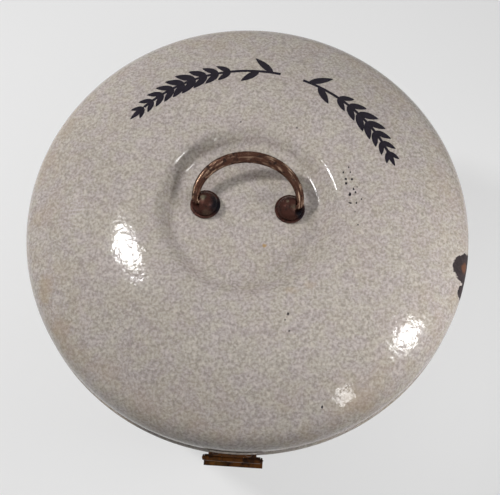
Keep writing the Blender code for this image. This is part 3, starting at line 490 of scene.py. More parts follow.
def build_speckle_group():
    """Enamel's fine mottling: soft pale flecks and short pale veins on a grey ground."""
    tree, given = new_group(
        "Enamel Speckle", ("Pale", 'Color', (1, 1, 1, 1)), ("Grey", 'Color', (0.5, 0.5, 0.5, 1)),
        ("Fleck Size", 'Float', 0.002), ("Spread", 'Float', 0.25), ("Drift", 'Float', 0.1),
        ("Cool", 'Color', (1, 1, 1, 1)), ("Warm", 'Color', (1, 1, 1, 1)))
    where = object_place(tree)
    per_metre = maths(tree, 'DIVIDE', 1.0, given["Fleck Size"])
    flecks = grain(tree, where, per_metre, 1.5, distortion=0.4)
    aside = vector(tree, 'ADD', where, (0.37, 0.11, 0.29))
    veins = maths(tree, 'SUBTRACT', grain(tree, aside, per_metre, 0.0, distortion=0.3), 0.5)
    vein = ramp(tree, maths(tree, 'ABSOLUTE', veins), 0.07, 0.0)
    both = maths(tree, 'MULTIPLY_ADD', vein, 0.10, flecks)
    low, high = [maths(tree, operation, FLECK_MIDDLE, given["Spread"]) for operation in ('SUBTRACT', 'ADD')]
    mask = remap(tree, both, low, high)
    colour = blend(tree, mask, given["Grey"], given["Pale"])
    drift = maths(tree, 'SUBTRACT', grain(tree, where, 14.0, 2.0), 0.5)
    shade = maths(tree, 'MULTIPLY_ADD', drift, given["Drift"], 1.0)
    toned = add(tree, 'VectorMath', {0: colour, "Scale": shade}, operation='SCALE')["Vector"]
    side = ramp(tree, grain(tree, where, WAVES_PER_METRE, 1.0), 0.36, 0.64)
    tinted = vector(tree, 'MULTIPLY', toned, blend(tree, side, given["Cool"], given["Warm"]))
    end_group(tree, ("Color", 'Color', tinted), ("Height", 'Float', mask))


def build_patch_group():
    """Soft or ragged patches of one colour over another, such as stains, rust and tarnish."""
    tree, given = new_group(
        "Patches", ("Color", 'Color', (1, 1, 1, 1)), ("Patch", 'Color', (0.2, 0.1, 0.05, 1)),
        ("Size", 'Float', 0.004), ("Cover", 'Float', 0.5), ("Softness", 'Float', 0.1), ("Strength", 'Float', 1.0))
    per_metre = maths(tree, 'DIVIDE', 1.0, given["Size"])
    uneven = grain(tree, object_place(tree), per_metre, 5.0, roughness=0.62)
    edge = maths(tree, 'SUBTRACT', 1.0, given["Cover"])
    low, high = [maths(tree, operation, edge, given["Softness"]) for operation in ('SUBTRACT', 'ADD')]
    mask = maths(tree, 'MULTIPLY', ramp(tree, uneven, low, high), given["Strength"], clamp=True)
    colour = blend(tree, mask, given["Color"], given["Patch"])
    end_group(tree, ("Color", 'Color', colour), ("Mask", 'Float', mask))


def build_chip_group():
    """A ragged spot about a place, with a narrow rim round it."""
    tree, given = new_group(
        "Chip", ("Centre", 'Vector', (0, 0, 0)), ("Reach", 'Vector', (0.01, 0.01, 0.01)), ("Ragged", 'Float', 0.4),
        ("Grain", 'Float', 0.004), ("Softness", 'Float', 0.06))
    where = object_place(tree)
    shares = vector(tree, 'DIVIDE', vector(tree, 'SUBTRACT', where, given["Centre"]), given["Reach"])
    uneven = grain(tree, where, maths(tree, 'DIVIDE', 1.0, given["Grain"]), 4.0, roughness=0.6)
    stray = maths(tree, 'SUBTRACT', uneven, 0.5)
    far = maths(tree, 'MULTIPLY_ADD', stray, given["Ragged"], vector(tree, 'LENGTH', shares))
    mask = ramp(tree, far, 1.0, maths(tree, 'SUBTRACT', 1.0, given["Softness"]))
    rim = maths(tree, 'SUBTRACT', ramp(tree, far, 1.14, 1.02), mask, clamp=True)
    end_group(tree, ("Mask", 'Float', mask), ("Rim", 'Float', rim))


def place_group(tree, name, **inputs):
    """Put a node group in a material, with its own values, and give back its outputs."""
    inputs = {label.replace("_", " "): value for label, value in inputs.items()}
    return add(tree, 'Group', inputs, node_tree=bpy.data.node_groups[name])


def patches(tree, colour, patch, size, cover, softness, strength):
    """Patches of another colour over a colour, with their own values in this material."""
    return place_group(tree, "Patches", Color=colour, Patch=patch, Size=size, Cover=cover, Softness=softness,
                       Strength=strength)


def new_material(name):
    """A material with a Principled shader, and both nodes."""
    material = bpy.data.materials.new(name)
    material.use_nodes = True
    return material, material.node_tree, material.node_tree.nodes["Principled BSDF"]


def shared_material(name, make):
    """A material by name, made on first use."""
    return bpy.data.materials.get(name) or make()


def mark(tree, height, place, reach, ragged, grain_size, softness=0.06):
    """A ragged mark's outputs, from its place off a height and its reach, both in millimetres."""
    x, y, z = [value / 1000 for value in place]
    return place_group(tree, "Chip", Centre=(x, y, height + z), Reach=[value / 1000 for value in reach],
                       Ragged=ragged, Grain=grain_size, Softness=softness)


def add_spots(tree, colour, spots):
    """Soft, ragged spots of other tones over a colour, each a mark with its strength and tone."""
    for height, place, reach, strength, tone in spots:
        spot = mark(tree, height, place, reach, 1.1, reach[0] * 0.0006, 0.75)
        colour = blend(tree, maths(tree, 'MULTIPLY', spot["Mask"], strength), colour, tone)
    return colour


def enamel_material(name, chips, rust, spots, rim_radius):
    """Speckled, glossy enamel with stains, small rust spots, and chips down to rusty iron."""
    enamel = look("enamel")
    material, tree, shader = new_material(name)
    where = object_place(tree)
    speckle = place_group(
        tree, "Enamel Speckle", Pale=enamel.pale, Grey=enamel.grey, Fleck_Size=enamel.fleck_size, Spread=0.22,
        Drift=0.16, Cool=(0.995, 0.988, 1.022), Warm=(1.000, 1.014, 0.975))
    radius = vector(tree, 'LENGTH', vector(tree, 'MULTIPLY', where, (1, 1, 0)))
    near_rim = ramp(tree, radius, rim_radius - STAINED_WIDTH, rim_radius)
    stained = maths(tree, 'MULTIPLY_ADD', near_rim, 0.24, 0.08)
    stains = patches(tree, speckle["Color"], enamel.stain, 0.022, 0.47, 0.16, stained)
    colour = add_spots(tree, stains["Color"], spots)

    iron = patches(tree, enamel.bare, [channel * 0.3 for channel in enamel.bare], 0.0028, 0.52, 0.14, 0.9)
    rusty = mark(tree, *rust, 0.9, 0.004, 0.5)
    bare = patches(tree, iron["Color"], enamel.chip_rust, 0.003, 0.66, 0.16, rusty["Mask"])
    made = [mark(tree, *chip, 0.0045) for chip in chips]
    gone, rims = [reduce(lambda first, second: maths(tree, 'MAXIMUM', first, second),
                         [chip[label] for chip in made]) for label in ("Mask", "Rim")]
    pale_rim = blend(tree, maths(tree, 'MULTIPLY', rims, 0.55), colour, enamel.pale)
    waves = grain(tree, where, WAVES_PER_METRE, 1.0)
    surface = maths(tree, 'MULTIPLY_ADD', waves, 1.6, grain(tree, where, PEEL_PER_METRE, 1.0))
    surface = maths(tree, 'MULTIPLY_ADD', gone, -6.0, surface)
    connect(tree, shader, {
        "Base Color": blend(tree, gone, pale_rim, bare["Color"]),
        "Roughness": remap(tree, gone, start=enamel.roughness, stop=0.7),
        "Normal": bump(tree, surface, 1.0, enamel.peel_depth)})
    lay_out(tree)
    return material


def lines_along_bail(tree, where):
    """Worn lines that run along the bail, strongest at its legs, as a mask."""
    middle = vector(tree, 'ADD', where, (0, -BAIL_AXIS[0], 0))
    shares = vector(tree, 'MULTIPLY', middle, (2 / BAIL_SPAN, 1 / BAIL_REACH, 0))
    apart = add(tree, 'SeparateXYZ', {0: shares})
    across = maths(tree, 'MULTIPLY', vector(tree, 'LENGTH', shares), BAIL_LINES_ACROSS)
    along = maths(tree, 'MULTIPLY', maths(tree, 'ARCTAN2', apart[1], apart[0]), BAIL_LINES_ALONG)
    streaks = grain(tree, add(tree, 'CombineXYZ', {0: across, 1: along})[0], 1.0, 2.0)
    aside = ramp(tree, maths(tree, 'ABSOLUTE', apart[0]), 0.2, 0.9)
    legs = maths(tree, 'MULTIPLY_ADD', aside, 0.65, 0.35)
    return maths(tree, 'MULTIPLY', ramp(tree, streaks, 0.50, 0.68), legs)


def metal_material(name, base, patch, cover, rough, metallic, scale=1.0, rubbed=None, spots=()):
    """Aged metal: patches of rust or tarnish, rubbed bright in lines, with fine pitting."""
    size = look("metal").patch_size * scale
    material, tree, shader = new_material(name)
    where = object_place(tree)
    if rubbed is not None:
        base = patches(tree, base, rubbed, size * 1.7, 0.58, 0.14, lines_along_bail(tree, where))["Color"]
    rust = patches(tree, base, patch, size, cover, 0.09, 0.95)
    pits = grain(tree, where, 1.6 / size, 6.0, roughness=0.65)
    connect(tree, shader, {
        "Base Color": add_spots(tree, rust["Color"], spots),
        "Roughness": remap(tree, rust["Mask"], start=rough, stop=rough + 0.3),
        "Metallic": remap(tree, rust["Mask"], start=metallic, stop=metallic * 0.35),
        "Specular IOR Level": METAL_SPECULAR,
        "Normal": bump(tree, maths(tree, 'MULTIPLY_ADD', rust["Mask"], 0.35, pits), 0.8, 0.00025)})
    lay_out(tree)
    return material


def ink_material():
    """Stencilled colour: near black, a little uneven, under the enamel's gloss."""
    enamel = look("enamel")
    material, tree, shader = new_material("stencil_black")
    paler = [channel * 2 for channel in enamel.ink]
    peel = grain(tree, object_place(tree), PEEL_PER_METRE, 1.0)
    connect(tree, shader, {
        "Base Color": patches(tree, enamel.ink, paler, 0.003, 0.45, 0.15, 0.7)["Color"],
        "Roughness": 0.22, "Specular IOR Level": INK_SPECULAR, "Normal": bump(tree, peel, 1.0, enamel.peel_depth)})
    lay_out(tree)
    return material


def brass():
    """Material of the latch and the hinge."""
    metal = look("metal")
    left, front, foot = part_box("hasp")[0]
    # A lighter patch on the hasp's left part: painted light, not wear
    lit = (foot, (left * 550, front * 1000 + 2.2, 10), (9.5, 6, 30), 0.80, metal.lit_brass)
    return shared_material("aged_brass_painted_light", lambda: metal_material(
        "aged_brass_painted_light", metal.brass, metal.tarnish, 0.50, 0.36, 0.8, scale=1.5, spots=[lit]))


def dressed(name, node, body, bevel, material=None):
    """A finer copy of a CAD node, with its flats cleaned and its sharp edges broken."""
    bm = bmesh.new()
    bm.from_mesh(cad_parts[node].data)
    bmesh.ops.remove_doubles(bm, verts=bm.verts, dist=2e-6)
    bmesh.ops.dissolve_limit(bm, angle_limit=radians(1), verts=bm.verts, edges=bm.edges)
    edges = [edge for edge in bm.edges if edge.is_manifold and edge.calc_face_angle() > radians(35)]
    bmesh.ops.bevel(bm, geom=edges, offset=bevel, segments=2, profile=0.5, affect='EDGES', clamp_overlap=True)
    bmesh.ops.triangulate(bm, faces=[face for face in bm.faces if len(face.verts) > 4])
    return make_piece(name, bm, body, material or brass(), [node], sharp=32)


class BREADBOX_OT_effects(Operator):
    """Build the shader node groups that the finishes share"""

    bl_idname = "bread_box.effects"
    bl_label = "Shared Effects"

    def execute(self, context):
        build_speckle_group()
        build_patch_group()
        build_chip_group()
        return {'FINISHED'}


def make_shell(name, body, node, profile, finish, strays=False):
    """Make an enamelled shell, from its profile and the values of its enamel."""
    bm = lathe(profile, SHELL_SEGMENTS)
    if strays:
        for vert in bm.verts:
            vert.co.z += warp(vert.co.x, vert.co.y)
    make_piece(name, bm, body, enamel_material(name, *finish), [node], sharp=60)


class BREADBOX_OT_lid(Operator):
    """Make the enamelled lid with its dome, well and rolled edge"""

    bl_idname = "bread_box.lid"
    bl_label = "Lid"

    def execute(self, context):
        enamel = look("enamel")
        # Each mark: a height, the place off it and the reach in millimetres, then how ragged, or strength and tone
        chips = [
            (WIDEST_HEIGHT, (165, -29, 10), (17.2, 12.2, 20), 0.55),
            (WIDEST_HEIGHT, (166, -40, 4), (8, 12, 13), 0.55),
            (WIDEST_HEIGHT, (162, -46.8, 8), (7.6, 5.5, 15), 0.60),
            (WIDEST_HEIGHT, (-120, 118, -12), (6, 6, 3), 0.60),
            (WIDEST_HEIGHT, (60, 159, -12), (10, 4, 3), 0.60),
        ]
        rust = (WIDEST_HEIGHT, (162, -29, 14), (5, 4.8, 6.5))
        spots = [
            (WELL_FLOOR_HEIGHT, (14, -24.8, 0), (2.2, 1.8, 3), 0.9, enamel.spot),
            (CREST_HEIGHT, (33.5, -59.2, 0), (7, 4, 8), 0.30, enamel.stain),
            (CREST_HEIGHT, (47.2, -54.8, 0), (6, 4, 8), 0.30, enamel.stain),
            (WIDEST_HEIGHT, (-141.4, -65.4, 20), (9, 15, 20), 0.40, enamel.stain),
            (WIDEST_HEIGHT, (-126.8, -93.5, 19), (12, 12, 20), 0.35, enamel.stain),
            (WIDEST_HEIGHT, (85, -130, 18), (18, 12, 20), 0.35, enamel.stain),
        ]
        finish = (chips, rust, spots, LID_RIM_RADIUS)
        make_shell("lid_enamel", "lid", "lid_shell", lid_profile(), finish, strays=True)
        return {'FINISHED'}


class BREADBOX_OT_drum(Operator):
    """Make the enamelled drum with its rolled edge"""

    bl_idname = "bread_box.drum"
    bl_label = "Drum"

    def execute(self, context):
        enamel = look("enamel")
        chips = [
            (0, (55, -147, 6), (9, 7, 8), 0.60),
            (0, (-128, -90, 5), (6, 10, 6), 0.60),
            (DRUM_HEIGHT, (118, 108, 0), (6, 6, 4), 0.60),
            (DRUM_HEIGHT, (-30, 159, 0), (8, 5, 4), 0.60),
        ]
        rust = (0, (55, -147, 6), (12, 10, 10))
        spots = [
            (0, (110, -110, 40), (8, 8, 30), 0.35, enamel.stain),
            (0, (-150, 45, 120), (10, 20, 25), 0.30, enamel.stain),
        ]
        finish = (chips, rust, spots, DRUM_OUTER + 0.020)
        make_shell("drum_enamel", "drum", "drum_shell", drum_profile(), finish)
        return {'FINISHED'}


def add_blade(bm, centre, direction, length, width, lift):
    """Add a leaf-shaped, slightly raised form that follows the lid's face, pointed at both ends."""
    along = direction.normalized()
    across = Vector((-along.y, along.x))
    steps = max(6, round(length / BLADE_STEP))
    rows = []
    for step in range(steps + 1):
        share = step / steps
        half = width / 2 * sin(pi * share ** 0.8) ** 0.75
        middle = centre + along * (length * (share - 0.5))
        sides = (0,) if step in (0, steps) else (-1, -0.5, 0, 0.5, 1)
        points = [middle + across * half * side for side in sides]
        rows.append([bm.verts.new(on_lid(point.x, point.y, lift)) for point in points])
    for row, following in zip(rows, rows[1:]):
        bridge(bm, row, following, around=False)


def heading(angle):
    """A direction on the lid, by its angle from the hinge."""
    return Vector((sin(angle), cos(angle)))


class BREADBOX_OT_wheat(Operator):
    """Stencil two ears of wheat in an arc on the lid"""

    bl_idname = "bread_box.wheat"
    bl_label = "Stencilled Wheat"

    def execute(self, context):
        wheat = look("wheat")
        bm = bmesh.new()
        for side, reach in ((-1, wheat.left_reach), (1, wheat.right_reach)):
            start = wheat.turn + side * wheat.gap / 2
            spread = side * reach
            for index in range(STALK_STRIPS):
                first, last = [heading(start + spread * share * STALK_SHARE) * wheat.arc_radius for share in (
                    index / STALK_STRIPS, min((index + 1 + STRIP_OVERLAP) / STALK_STRIPS, 1))]
                strip = (last - first).normalized()
                cross = Vector((-strip.y, strip.x)) * wheat.line_width / 2
                corners = [first - cross, last - cross, last + cross, first + cross]
                bm.faces.new([bm.verts.new(on_lid(c.x, c.y, wheat.lift * 0.6)) for c in corners])

            # Share of the reach, side of the stalk, lean, length, share of the length off the stalk, and width
            blades = []
            grains = max(2, round(reach * EAR_SHARE / wheat.pitch))
            for index in range(grains):
                share = EAR_START + EAR_SHARE * index / (grains - 1)
                size = 1 - GRAIN_TAPER * abs(share - EAR_MIDDLE) / (1 - EAR_MIDDLE)
                for hand in (-1, 1):
                    blades.append((share, hand, GRAIN_LEAN, wheat.grain_length * size, 0.55,
                                   wheat.grain_width * size))
            blades.append((1, 0, 0, wheat.grain_length * 0.9, 0, wheat.grain_width * 0.7))
            for hand, share, length in LEAVES:
                blades.append((share, hand, LEAF_LEAN, length, 0.5, wheat.grain_width * 0.95))
            for share, hand, lean, length, off, width in blades:
                angle = start + spread * share
                along = Vector((cos(angle), -sin(angle))) * side
                outward = heading(angle)
                direction = along * cos(lean) + outward * hand * sin(lean)
                middle = outward * wheat.arc_radius + direction * length * off
                add_blade(bm, middle, direction, length, width, wheat.lift)
        material = shared_material("stencil_black", ink_material)
        make_piece("stencilled_wheat", bm, "lid", material, [], sharp=60)
        return {'FINISHED'}


class BREADBOX_OT_specks(Operator):
    """Scatter the small black specks that the lid has"""

    bl_idname = "bread_box.specks"
    bl_label = "Specks"

    def execute(self, context):
        lift = look("wheat").lift
        bm = bmesh.new()
        for speck in SPECKS:
            x, y, across, along = [value / 1000 for value in speck]
            corners = []
            for index in range(SPECK_POINTS):
                angle = 2 * pi * index / SPECK_POINTS
                ragged = 1 + 0.6 * noise.noise(Vector((x * 900, y * 900, index * 1.7)))
                corners.append(bm.verts.new(on_lid(x + across * ragged * cos(angle),
                                                   y + along * ragged * sin(angle), lift)))
            bm.faces.new(corners)
        material = shared_material("stencil_black", ink_material)
        make_piece("lid_specks", bm, "lid", material, [], sharp=60)
        return {'FINISHED'}


def bail_stations():
    """Places along the right half of the bail, with the direction, width, thickness and squareness at each."""
    leg = BAIL_SPAN / 2
    rise = BAIL_REACH - BAIL_BEND_RADIUS
    stations = [(Vector((SLOT_START - BAIL_END_DEPTH * share, 0)), Vector((1, 0)), BAIL_END_DIAMETER,
                 BAIL_END_DIAMETER, 0.0) for share in (1, 0.5)]
    for step in range(BAIL_BEND_STEPS + 1):
        share = step / BAIL_BEND_STEPS
        sine, cosine = sin(share * QUARTER), cos(share * QUARTER)
        point = Vector((leg - BAIL_BEND_RADIUS + BAIL_BEND_RADIUS * sine, BAIL_BEND_RADIUS * (1 - cosine)))
        width = BAIL_END_DIAMETER + (BAIL_LEG_WIDTH - BAIL_END_DIAMETER) * share
        stations.append((point, Vector((cosine, sine)), width, BAIL_END_DIAMETER, BEND_SQUARENESS * share))
    for step in range(1, BAIL_STEPS + 1):
        swell, cosine = sin(step / BAIL_STEPS * QUARTER), cos(step / BAIL_STEPS * QUARTER)
        point = Vector((leg * cosine, BAIL_BEND_RADIUS + rise * swell))
        direction = Vector((-leg * swell, rise * cosine)).normalized()
        width = BAIL_LEG_WIDTH + (BAIL_CROWN_WIDTH - BAIL_LEG_WIDTH) * swell
        thickness = BAIL_END_DIAMETER + (BAIL_CROWN_THICKNESS - BAIL_END_DIAMETER) * swell
        square = BEND_SQUARENESS + (CROWN_SQUARENESS - BEND_SQUARENESS) * swell
        stations.append((point, direction, width, thickness, square))
    return stations


class BREADBOX_OT_bail(Operator):
    """Forge the bail, round at its ends and flattened at its crown"""

    bl_idname = "bread_box.bail"
    bl_label = "Bail"

    def execute(self, context):
        metal = look("metal")
        material = metal_material("worn_copper", metal.copper, metal.rust, 0.42, 0.26, 0.70, rubbed=metal.bright)
        right = bail_stations()
        left = [(Vector((-p.x, p.y)), Vector((d.x, -d.y)), w, t, s) for p, d, w, t, s in reversed(right[:-1])]
        place = Matrix.Translation((0, *BAIL_AXIS)) @ Matrix.Rotation(BAIL_REST_ANGLE, 4, 'X')
        bm = bmesh.new()
        rings = []
        for point, direction, width, thickness, square in right + left:
            across = Vector((direction.y, -direction.x))
            power = 2 / (2 + 1.6 * square)
            ring = []
            for index in range(BAIL_SECTION_POINTS):
                angle = 2 * pi * index / BAIL_SECTION_POINTS
                c, s = cos(angle), sin(angle)
                side = copysign(abs(c) ** power, c) * width / 2
                up = copysign(abs(s) ** power, s) * thickness / 2
                flat = point + across * side
                uneven = noise.noise(Vector((flat.x, flat.y, up)) * DENTS_PER_METRE)
                dent = 1 - DENT_DEPTH * (1 - uneven)
                flat = point + across * side * dent
                ring.append(bm.verts.new(place @ Vector((flat.x, flat.y, up * dent))))
            rings.append(ring)
        for ring, following in zip(rings, rings[1:]):
            bridge(bm, ring, following)
        bm.faces.new(rings[0])
        bm.faces.new(list(reversed(rings[-1])))
        make_piece("bail_bow", bm, "bail", material, ["bail"], sharp=50)
        return {'FINISHED'}


def cut(piece, points, thickness, place):
    """Cut a slot through a piece, with an outline in local X and Y and its thickness along Z."""
    bm = bmesh.new()
    low, high = [[bm.verts.new(place @ Vector((x, y, side * thickness / 2))) for x, y in points]
                 for side in (-1, 1)]
    bm.faces.new(list(reversed(low)))
    bm.faces.new(high)
    bridge(bm, low, high)
    bmesh.ops.recalc_face_normals(bm, faces=bm.faces)
    cutter = link("slot_cutter", to_mesh("slot_cutter", bm))
    modifier = piece.modifiers.new("slot", 'BOOLEAN')
    modifier.operation = 'DIFFERENCE'
    modifier.solver = 'EXACT'
    modifier.object = cutter
    result = bpy.data.meshes.new_from_object(piece.evaluated_get(bpy.context.evaluated_depsgraph_get()))
    piece.modifiers.clear()
    piece.data = result
    bpy.data.meshes.remove(cutter.data)
    result.shade_smooth()
    result.set_sharp_from_angle(angle=radians(35))


class BREADBOX_OT_rosettes(Operator):
    """Turn the two rosettes with their slots and shanks, and make their washers and nuts"""

    bl_idname = "bread_box.rosettes"
    bl_label = "Rosettes"

    def execute(self, context):
        metal = look("metal")
        mid = WELL_FLOOR_HEIGHT + BOSS_HEIGHT * 0.7
        # Spots on the rosettes: the first two are painted shade on each dome's right side, the next two are
        # painted glints near each dome's top, and the last two are faint olive patches
        spots = [
            (mid, (-22, 3, 0), (7.2, 11.5, 16), 0.96, metal.painted_shade),
            (mid, (39.2, 0.4, 0), (6.6, 7.8, 16), 0.96, metal.painted_shade),
            (mid, (-32.4, 5.9, 0), (3, 3.2, 10), 0.60, metal.worn),
            (mid, (29, 6.7, 0), (1.6, 1.8, 10), 0.45, metal.worn),
            (mid, (33.2, 2.7, 0), (3, 3, 10), 0.25, metal.worn),
            (mid, (-29, -4.5, 0), (5, 3, 8), 0.18, metal.worn),
        ]
        iron = metal_material("rusted_iron_painted_shade", metal.rosette, metal.rust, 0.44, 0.25, 0.55, spots=spots)
        steel = metal_material("dull_steel", metal.steel, metal.tarnish, 0.36, 0.42, 0.9)

        dome = BOSS_HEIGHT - ROSETTE_FLANGE
        edge = ROSETTE_FLANGE / 2
        shank = SHANK_END - ROSETTE_SEAT
        profile = [(BOSS_RADIUS * sin(a), ROSETTE_FLANGE + dome * cos(a))
                   for a in [QUARTER * step / 14 for step in range(15)]]
        profile += [(BOSS_RADIUS + FLANGE_STEP, ROSETTE_FLANGE + FLANGE_LIFT)]
        profile += arc((ROSETTE_RADIUS - edge, edge), edge, QUARTER, -QUARTER, 8)
        profile += [(SHANK_RADIUS, 0), (SHANK_RADIUS, shank + FLANGE_STEP), (SHANK_RADIUS - FLANGE_STEP, shank),
                    (0, shank)]

        # The slot's outline, seen along the bail's axis: a round foot and a sloped floor on both sides
        room = BAIL_END_DIAMETER / 2 + BORE_GAP
        floor = arc((0, 0), room, -QUARTER - BAIL_REST_ANGLE, -QUARTER + BAIL_REST_ANGLE, 6)
        far = 2 * ROSETTE_RADIUS
        end = (floor[-1][0] + far * cos(BAIL_REST_ANGLE), floor[-1][1] + far * sin(BAIL_REST_ANGLE))
        outline = floor + [end, (end[0], end[1] + far), (-end[0], end[1] + far), (-end[0], end[1])]
        width = ROSETTE_SPACING / 2 + ROSETTE_RADIUS + SLOT_OVERRUN - SLOT_START
        across = Matrix(((0, 0, 1, 0), (1, 0, 0, 0), (0, 1, 0, 0), (0, 0, 0, 1)))
        for side, word in ((-1, "left"), (1, "right")):
            place = Matrix.Translation((side * ROSETTE_SPACING / 2, ROSETTE_SETBACK, ROSETTE_SEAT))
            bm = lathe(profile, ROUND_SEGMENTS, place)
            piece = make_piece(f"rosette_{word}_dome", bm, "lid", iron, [f"rosette_{word}"])
            slot = Matrix.Translation((side * (SLOT_START + width / 2), *BAIL_AXIS)) @ across
            cut(piece, outline, width, slot)
            dressed(f"washer_{word}", f"rosette_washer_{word}", "lid", WASHER_BEVEL, steel)
            dressed(f"nut_{word}", f"rosette_nut_{word}", "lid", NUT_BEVEL, steel)
        return {'FINISHED'}


def add_rivets(leaf, places, body):
    """Make the domed rivets that hold a leaf to the wall of a body, each where its CAD node is."""
    wall_inner, wall_outer = {"lid": (SKIRT_INNER, SKIRT_OUTER), "drum": (DRUM_INNER, DRUM_OUTER)}[body]
    seat = wall_outer + 2 * SEAT_GAP + LEAF_THICKNESS
    tail = wall_inner - 2 * SEAT_GAP
    dome_radius = (RIVET_HEAD_RADIUS ** 2 + RIVET_HEAD_HEIGHT ** 2) / (2 * RIVET_HEAD_HEIGHT)
    dome_end = QUARTER - asin(RIVET_HEAD_RADIUS / dome_radius)
    profile = arc((0, seat + RIVET_HEAD_HEIGHT - dome_radius), dome_radius, QUARTER, dome_end, 8)
    profile += [(RIVET_SHANK_RADIUS, seat), (RIVET_SHANK_RADIUS, tail), (RIVET_TAIL_RADIUS, tail),
                (RIVET_TAIL_RADIUS, tail - RIVET_TAIL_HEIGHT * 0.6),
                (RIVET_TAIL_RADIUS * 0.8, tail - RIVET_TAIL_HEIGHT), (0, tail - RIVET_TAIL_HEIGHT)]
    for node in [f"{leaf}_{place}" for place in places]:
        low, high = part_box(node)
        x, y, z = [(low[axis] + high[axis]) / 2 for axis in range(3)]
        place = (Matrix.Rotation(atan2(-x, y), 4, 'Z') @ Matrix.Translation((0, 0, z))
                 @ Matrix.Rotation(-QUARTER, 4, 'X'))
        make_piece(f"{node}_dome", lathe(profile, RIVET_SEGMENTS, place), body, brass(), [node])


class BREADBOX_OT_latch(Operator):
    """Dress the hasp, its leaf and pin, and the catch on the drum, with their rivets"""

    bl_idname = "bread_box.latch"
    bl_label = "Latch"

    def execute(self, context):
        dressed("hasp_plate", "hasp", "hasp", HASP_BEVEL)
        leaf = dressed("hasp_leaf_plate", "hasp_leaf", "lid", LEAF_BEVEL)
        # The leaf is enamelled where it lies on the skirt
        leaf.data.materials.append(bpy.data.materials["lid_enamel"])
        for face in leaf.data.polygons:
            if hypot(face.center.x, face.center.y) < SKIRT_OUTER + 2 * SEAT_GAP + LEAF_THICKNESS:
                face.material_index = 1
        dressed("hasp_pin_rod", "hasp_pin", "lid", PIN_BEVEL)
        dressed("catch_plate", "catch", "drum", LEAF_BEVEL)
        add_rivets("hasp_leaf_rivet", ("left", "right"), "lid")
        add_rivets("catch_rivet", ("left", "right"), "drum")
        return {'FINISHED'}


class BREADBOX_OT_hinge(Operator):
    """Dress the rear hinge's leaves and pin, with their rivets"""

    bl_idname = "bread_box.hinge"
    bl_label = "Hinge"

    def execute(self, context):
        dressed("hinge_lid_plate", "hinge_leaf_lid", "lid", LEAF_BEVEL)
        dressed("hinge_drum_plate", "hinge_leaf_drum", "drum", LEAF_BEVEL)
        dressed("hinge_pin_rod", "hinge_pin", "drum", PIN_BEVEL)
        for body in ("lid", "drum"):
            add_rivets(f"hinge_rivet_{body}", ("left", "middle", "right"), body)
        return {'FINISHED'}


def add_lamp(name, aim, towards, distance, size, power, glossy):
    """A lamp in a direction from the place that it faces, which lights the object or only shows in its gloss."""
    light = bpy.data.lights.new(name, 'AREA')
    light.shape = 'RECTANGLE'
    light.size, light.size_y = size
    light.energy = power
    lamp = link(name, light)
    direction = Vector(towards).normalized()
    lamp.location = Vector(aim) + direction * distance
    lamp.rotation_euler = direction.to_track_quat('Z', 'Y').to_euler()
    lamp.visible_diffuse = not glossy
    lamp.visible_glossy = glossy
    lamp.visible_camera = False


def seen_rays(tree):
    """1 for the camera's rays and for those that gloss and glass send on, and 0 for the rest."""
    path = add(tree, 'LightPath', {})
    seen = maths(tree, 'MAXIMUM', path["Is Camera Ray"], path["Is Glossy Ray"])
    return maths(tree, 'MAXIMUM', seen, path["Is Transmission Ray"])


def bearing(azimuth, elevation):
    """A direction from its azimuth, from +X towards +Y, and its elevation, in degrees."""
    a, e = radians(azimuth), radians(elevation)
    return Vector((cos(e) * cos(a), cos(e) * sin(a), sin(e)))


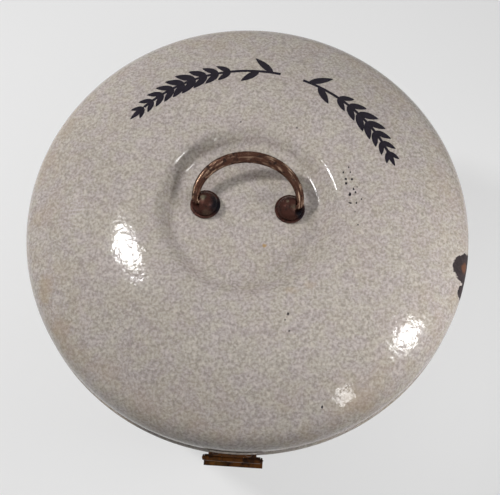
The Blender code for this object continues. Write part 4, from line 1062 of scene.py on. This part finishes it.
class BREADBOX_OT_stage(Operator):
    """Set up the pale floor, the lamps and the camera"""

    bl_idname = "bread_box.stage"
    bl_label = "Stage"

    def execute(self, context):
        stage = look("stage")
        scene = context.scene
        bm = bmesh.new()
        bmesh.ops.create_grid(bm, x_segments=4, y_segments=4, size=6)
        floor = link("floor", to_mesh("floor", bm))
        material, tree, shader = new_material("floor_paint")
        floor.data.materials.append(material)
        shade = [channel * 0.985 for channel in stage.floor]
        connect(tree, shader, {
            "Base Color": blend(tree, grain(tree, object_place(tree), 3.0, 3.0), shade, stage.floor),
            "Roughness": 0.9, "Specular IOR Level": 0.1})
        white = add(tree, 'Emission', {"Color": (1, 1, 1), "Strength": 0.92})[0]
        share = maths(tree, 'MULTIPLY', seen_rays(tree), stage.backdrop)
        mixed = add(tree, 'MixShader', {0: share, 1: shader.outputs[0], 2: white})[0]
        connect(tree, tree.nodes["Material Output"], {"Surface": mixed})
        lay_out(tree)

        scene.world = bpy.data.worlds.new("studio")
        scene.world.use_nodes = True
        tree = scene.world.node_tree
        connect(tree, tree.nodes["Background"], {
            "Color": (1, 1, 1), "Strength": remap(tree, seen_rays(tree), start=stage.room, stop=stage.surround)})
        lay_out(tree)

        # Lamps that light the object: azimuth, elevation, distance from the lid, size and power
        for name, azimuth, elevation, distance, size, power in (
                ("key", 160, 38, 1.00, (0.12, 0.12), stage.key),
                ("top", 303, 75, 0.40, (0.30, 0.30), stage.top),
                ("back", 68, 40, 0.40, (0.28, 0.25), stage.back),
                ("right", 343, 19, 0.40, (0.18, 0.08), stage.right),
                ("front", 245, 30, 1.50, (0.50, 0.50), stage.fill)):
            towards = bearing(azimuth, elevation)
            add_lamp(f"lamp_{name}", (0, 0, WELL_FLOOR_HEIGHT), towards, distance, size, power, False)
        # Lamps that show only in the gloss: where they shine back from, direction, distance, size and power
        for name, aim, towards, distance, size, power in (
                ("left", (-0.0835, -0.0368, 0.2264), (-0.358, 0.207, 0.910), 0.80, (0.110, 0.120), 3.8),
                ("right", (0.1169, -0.0838, 0.2170), (0.692, -0.163, 0.703), 2.00, (0.270, 0.330), 15),
                ("front", (0.0748, -0.1275, 0.2155), (0.461, -0.472, 0.751), 0.30, (0.030, 0.050), 0.13)):
            add_lamp(f"gloss_{name}", aim, towards, distance, size, stage.gloss * power, True)

        camera = bpy.data.cameras.new("camera")
        camera.lens = stage.lens
        camera.clip_start = 0.01
        scene.camera = link("camera", camera)
        scene.camera.location = stage.camera_place
        scene.camera.rotation_euler = Euler(stage.camera_turn, 'XYZ')
        scene.view_settings.view_transform = 'Standard'
        return {'FINISHED'}


class BREADBOX_PT_sidebar(Panel):
    """Lists the bread box's settings and its pieces"""

    bl_idname = "BREADBOX_PT_sidebar"
    bl_label = "Bread Box"
    bl_space_type = 'VIEW_3D'
    bl_region_type = 'UI'
    bl_category = "Bread Box"

    def draw(self, context):
        for kind in LOOKS:
            box = self.layout.box()
            settings = look(kind)
            for name in type(settings).__annotations__:
                box.prop(settings, name)
        for operator in OPERATORS:
            self.layout.operator(operator.bl_idname)


LOOKS = {"enamel": EnamelLook, "metal": MetalLook, "wheat": WheatLook, "stage": StageLook}
OPERATORS = (
    BREADBOX_OT_effects, BREADBOX_OT_lid, BREADBOX_OT_drum, BREADBOX_OT_wheat, BREADBOX_OT_specks,
    BREADBOX_OT_bail, BREADBOX_OT_rosettes, BREADBOX_OT_latch, BREADBOX_OT_hinge, BREADBOX_OT_stage,
)


def register():
    """Register the settings, the operators and the panel."""
    for kind, group in LOOKS.items():
        bpy.utils.register_class(group)
        setattr(Scene, f"bread_box_{kind}", PointerProperty(type=group))
    for cls in (*OPERATORS, BREADBOX_PT_sidebar):
        bpy.utils.register_class(cls)


def unregister():
    """Take the panel, the operators and the settings away again."""
    for cls in (BREADBOX_PT_sidebar, *reversed(OPERATORS)):
        bpy.utils.unregister_class(cls)
    for kind, group in LOOKS.items():
        delattr(Scene, f"bread_box_{kind}")
        bpy.utils.unregister_class(group)


def main():
    """Dress the bread box."""
    register()
    for operator in OPERATORS:
        getattr(bpy.ops.bread_box, operator.bl_idname.removeprefix("bread_box."))()


if __name__ == "__main__":
    main()
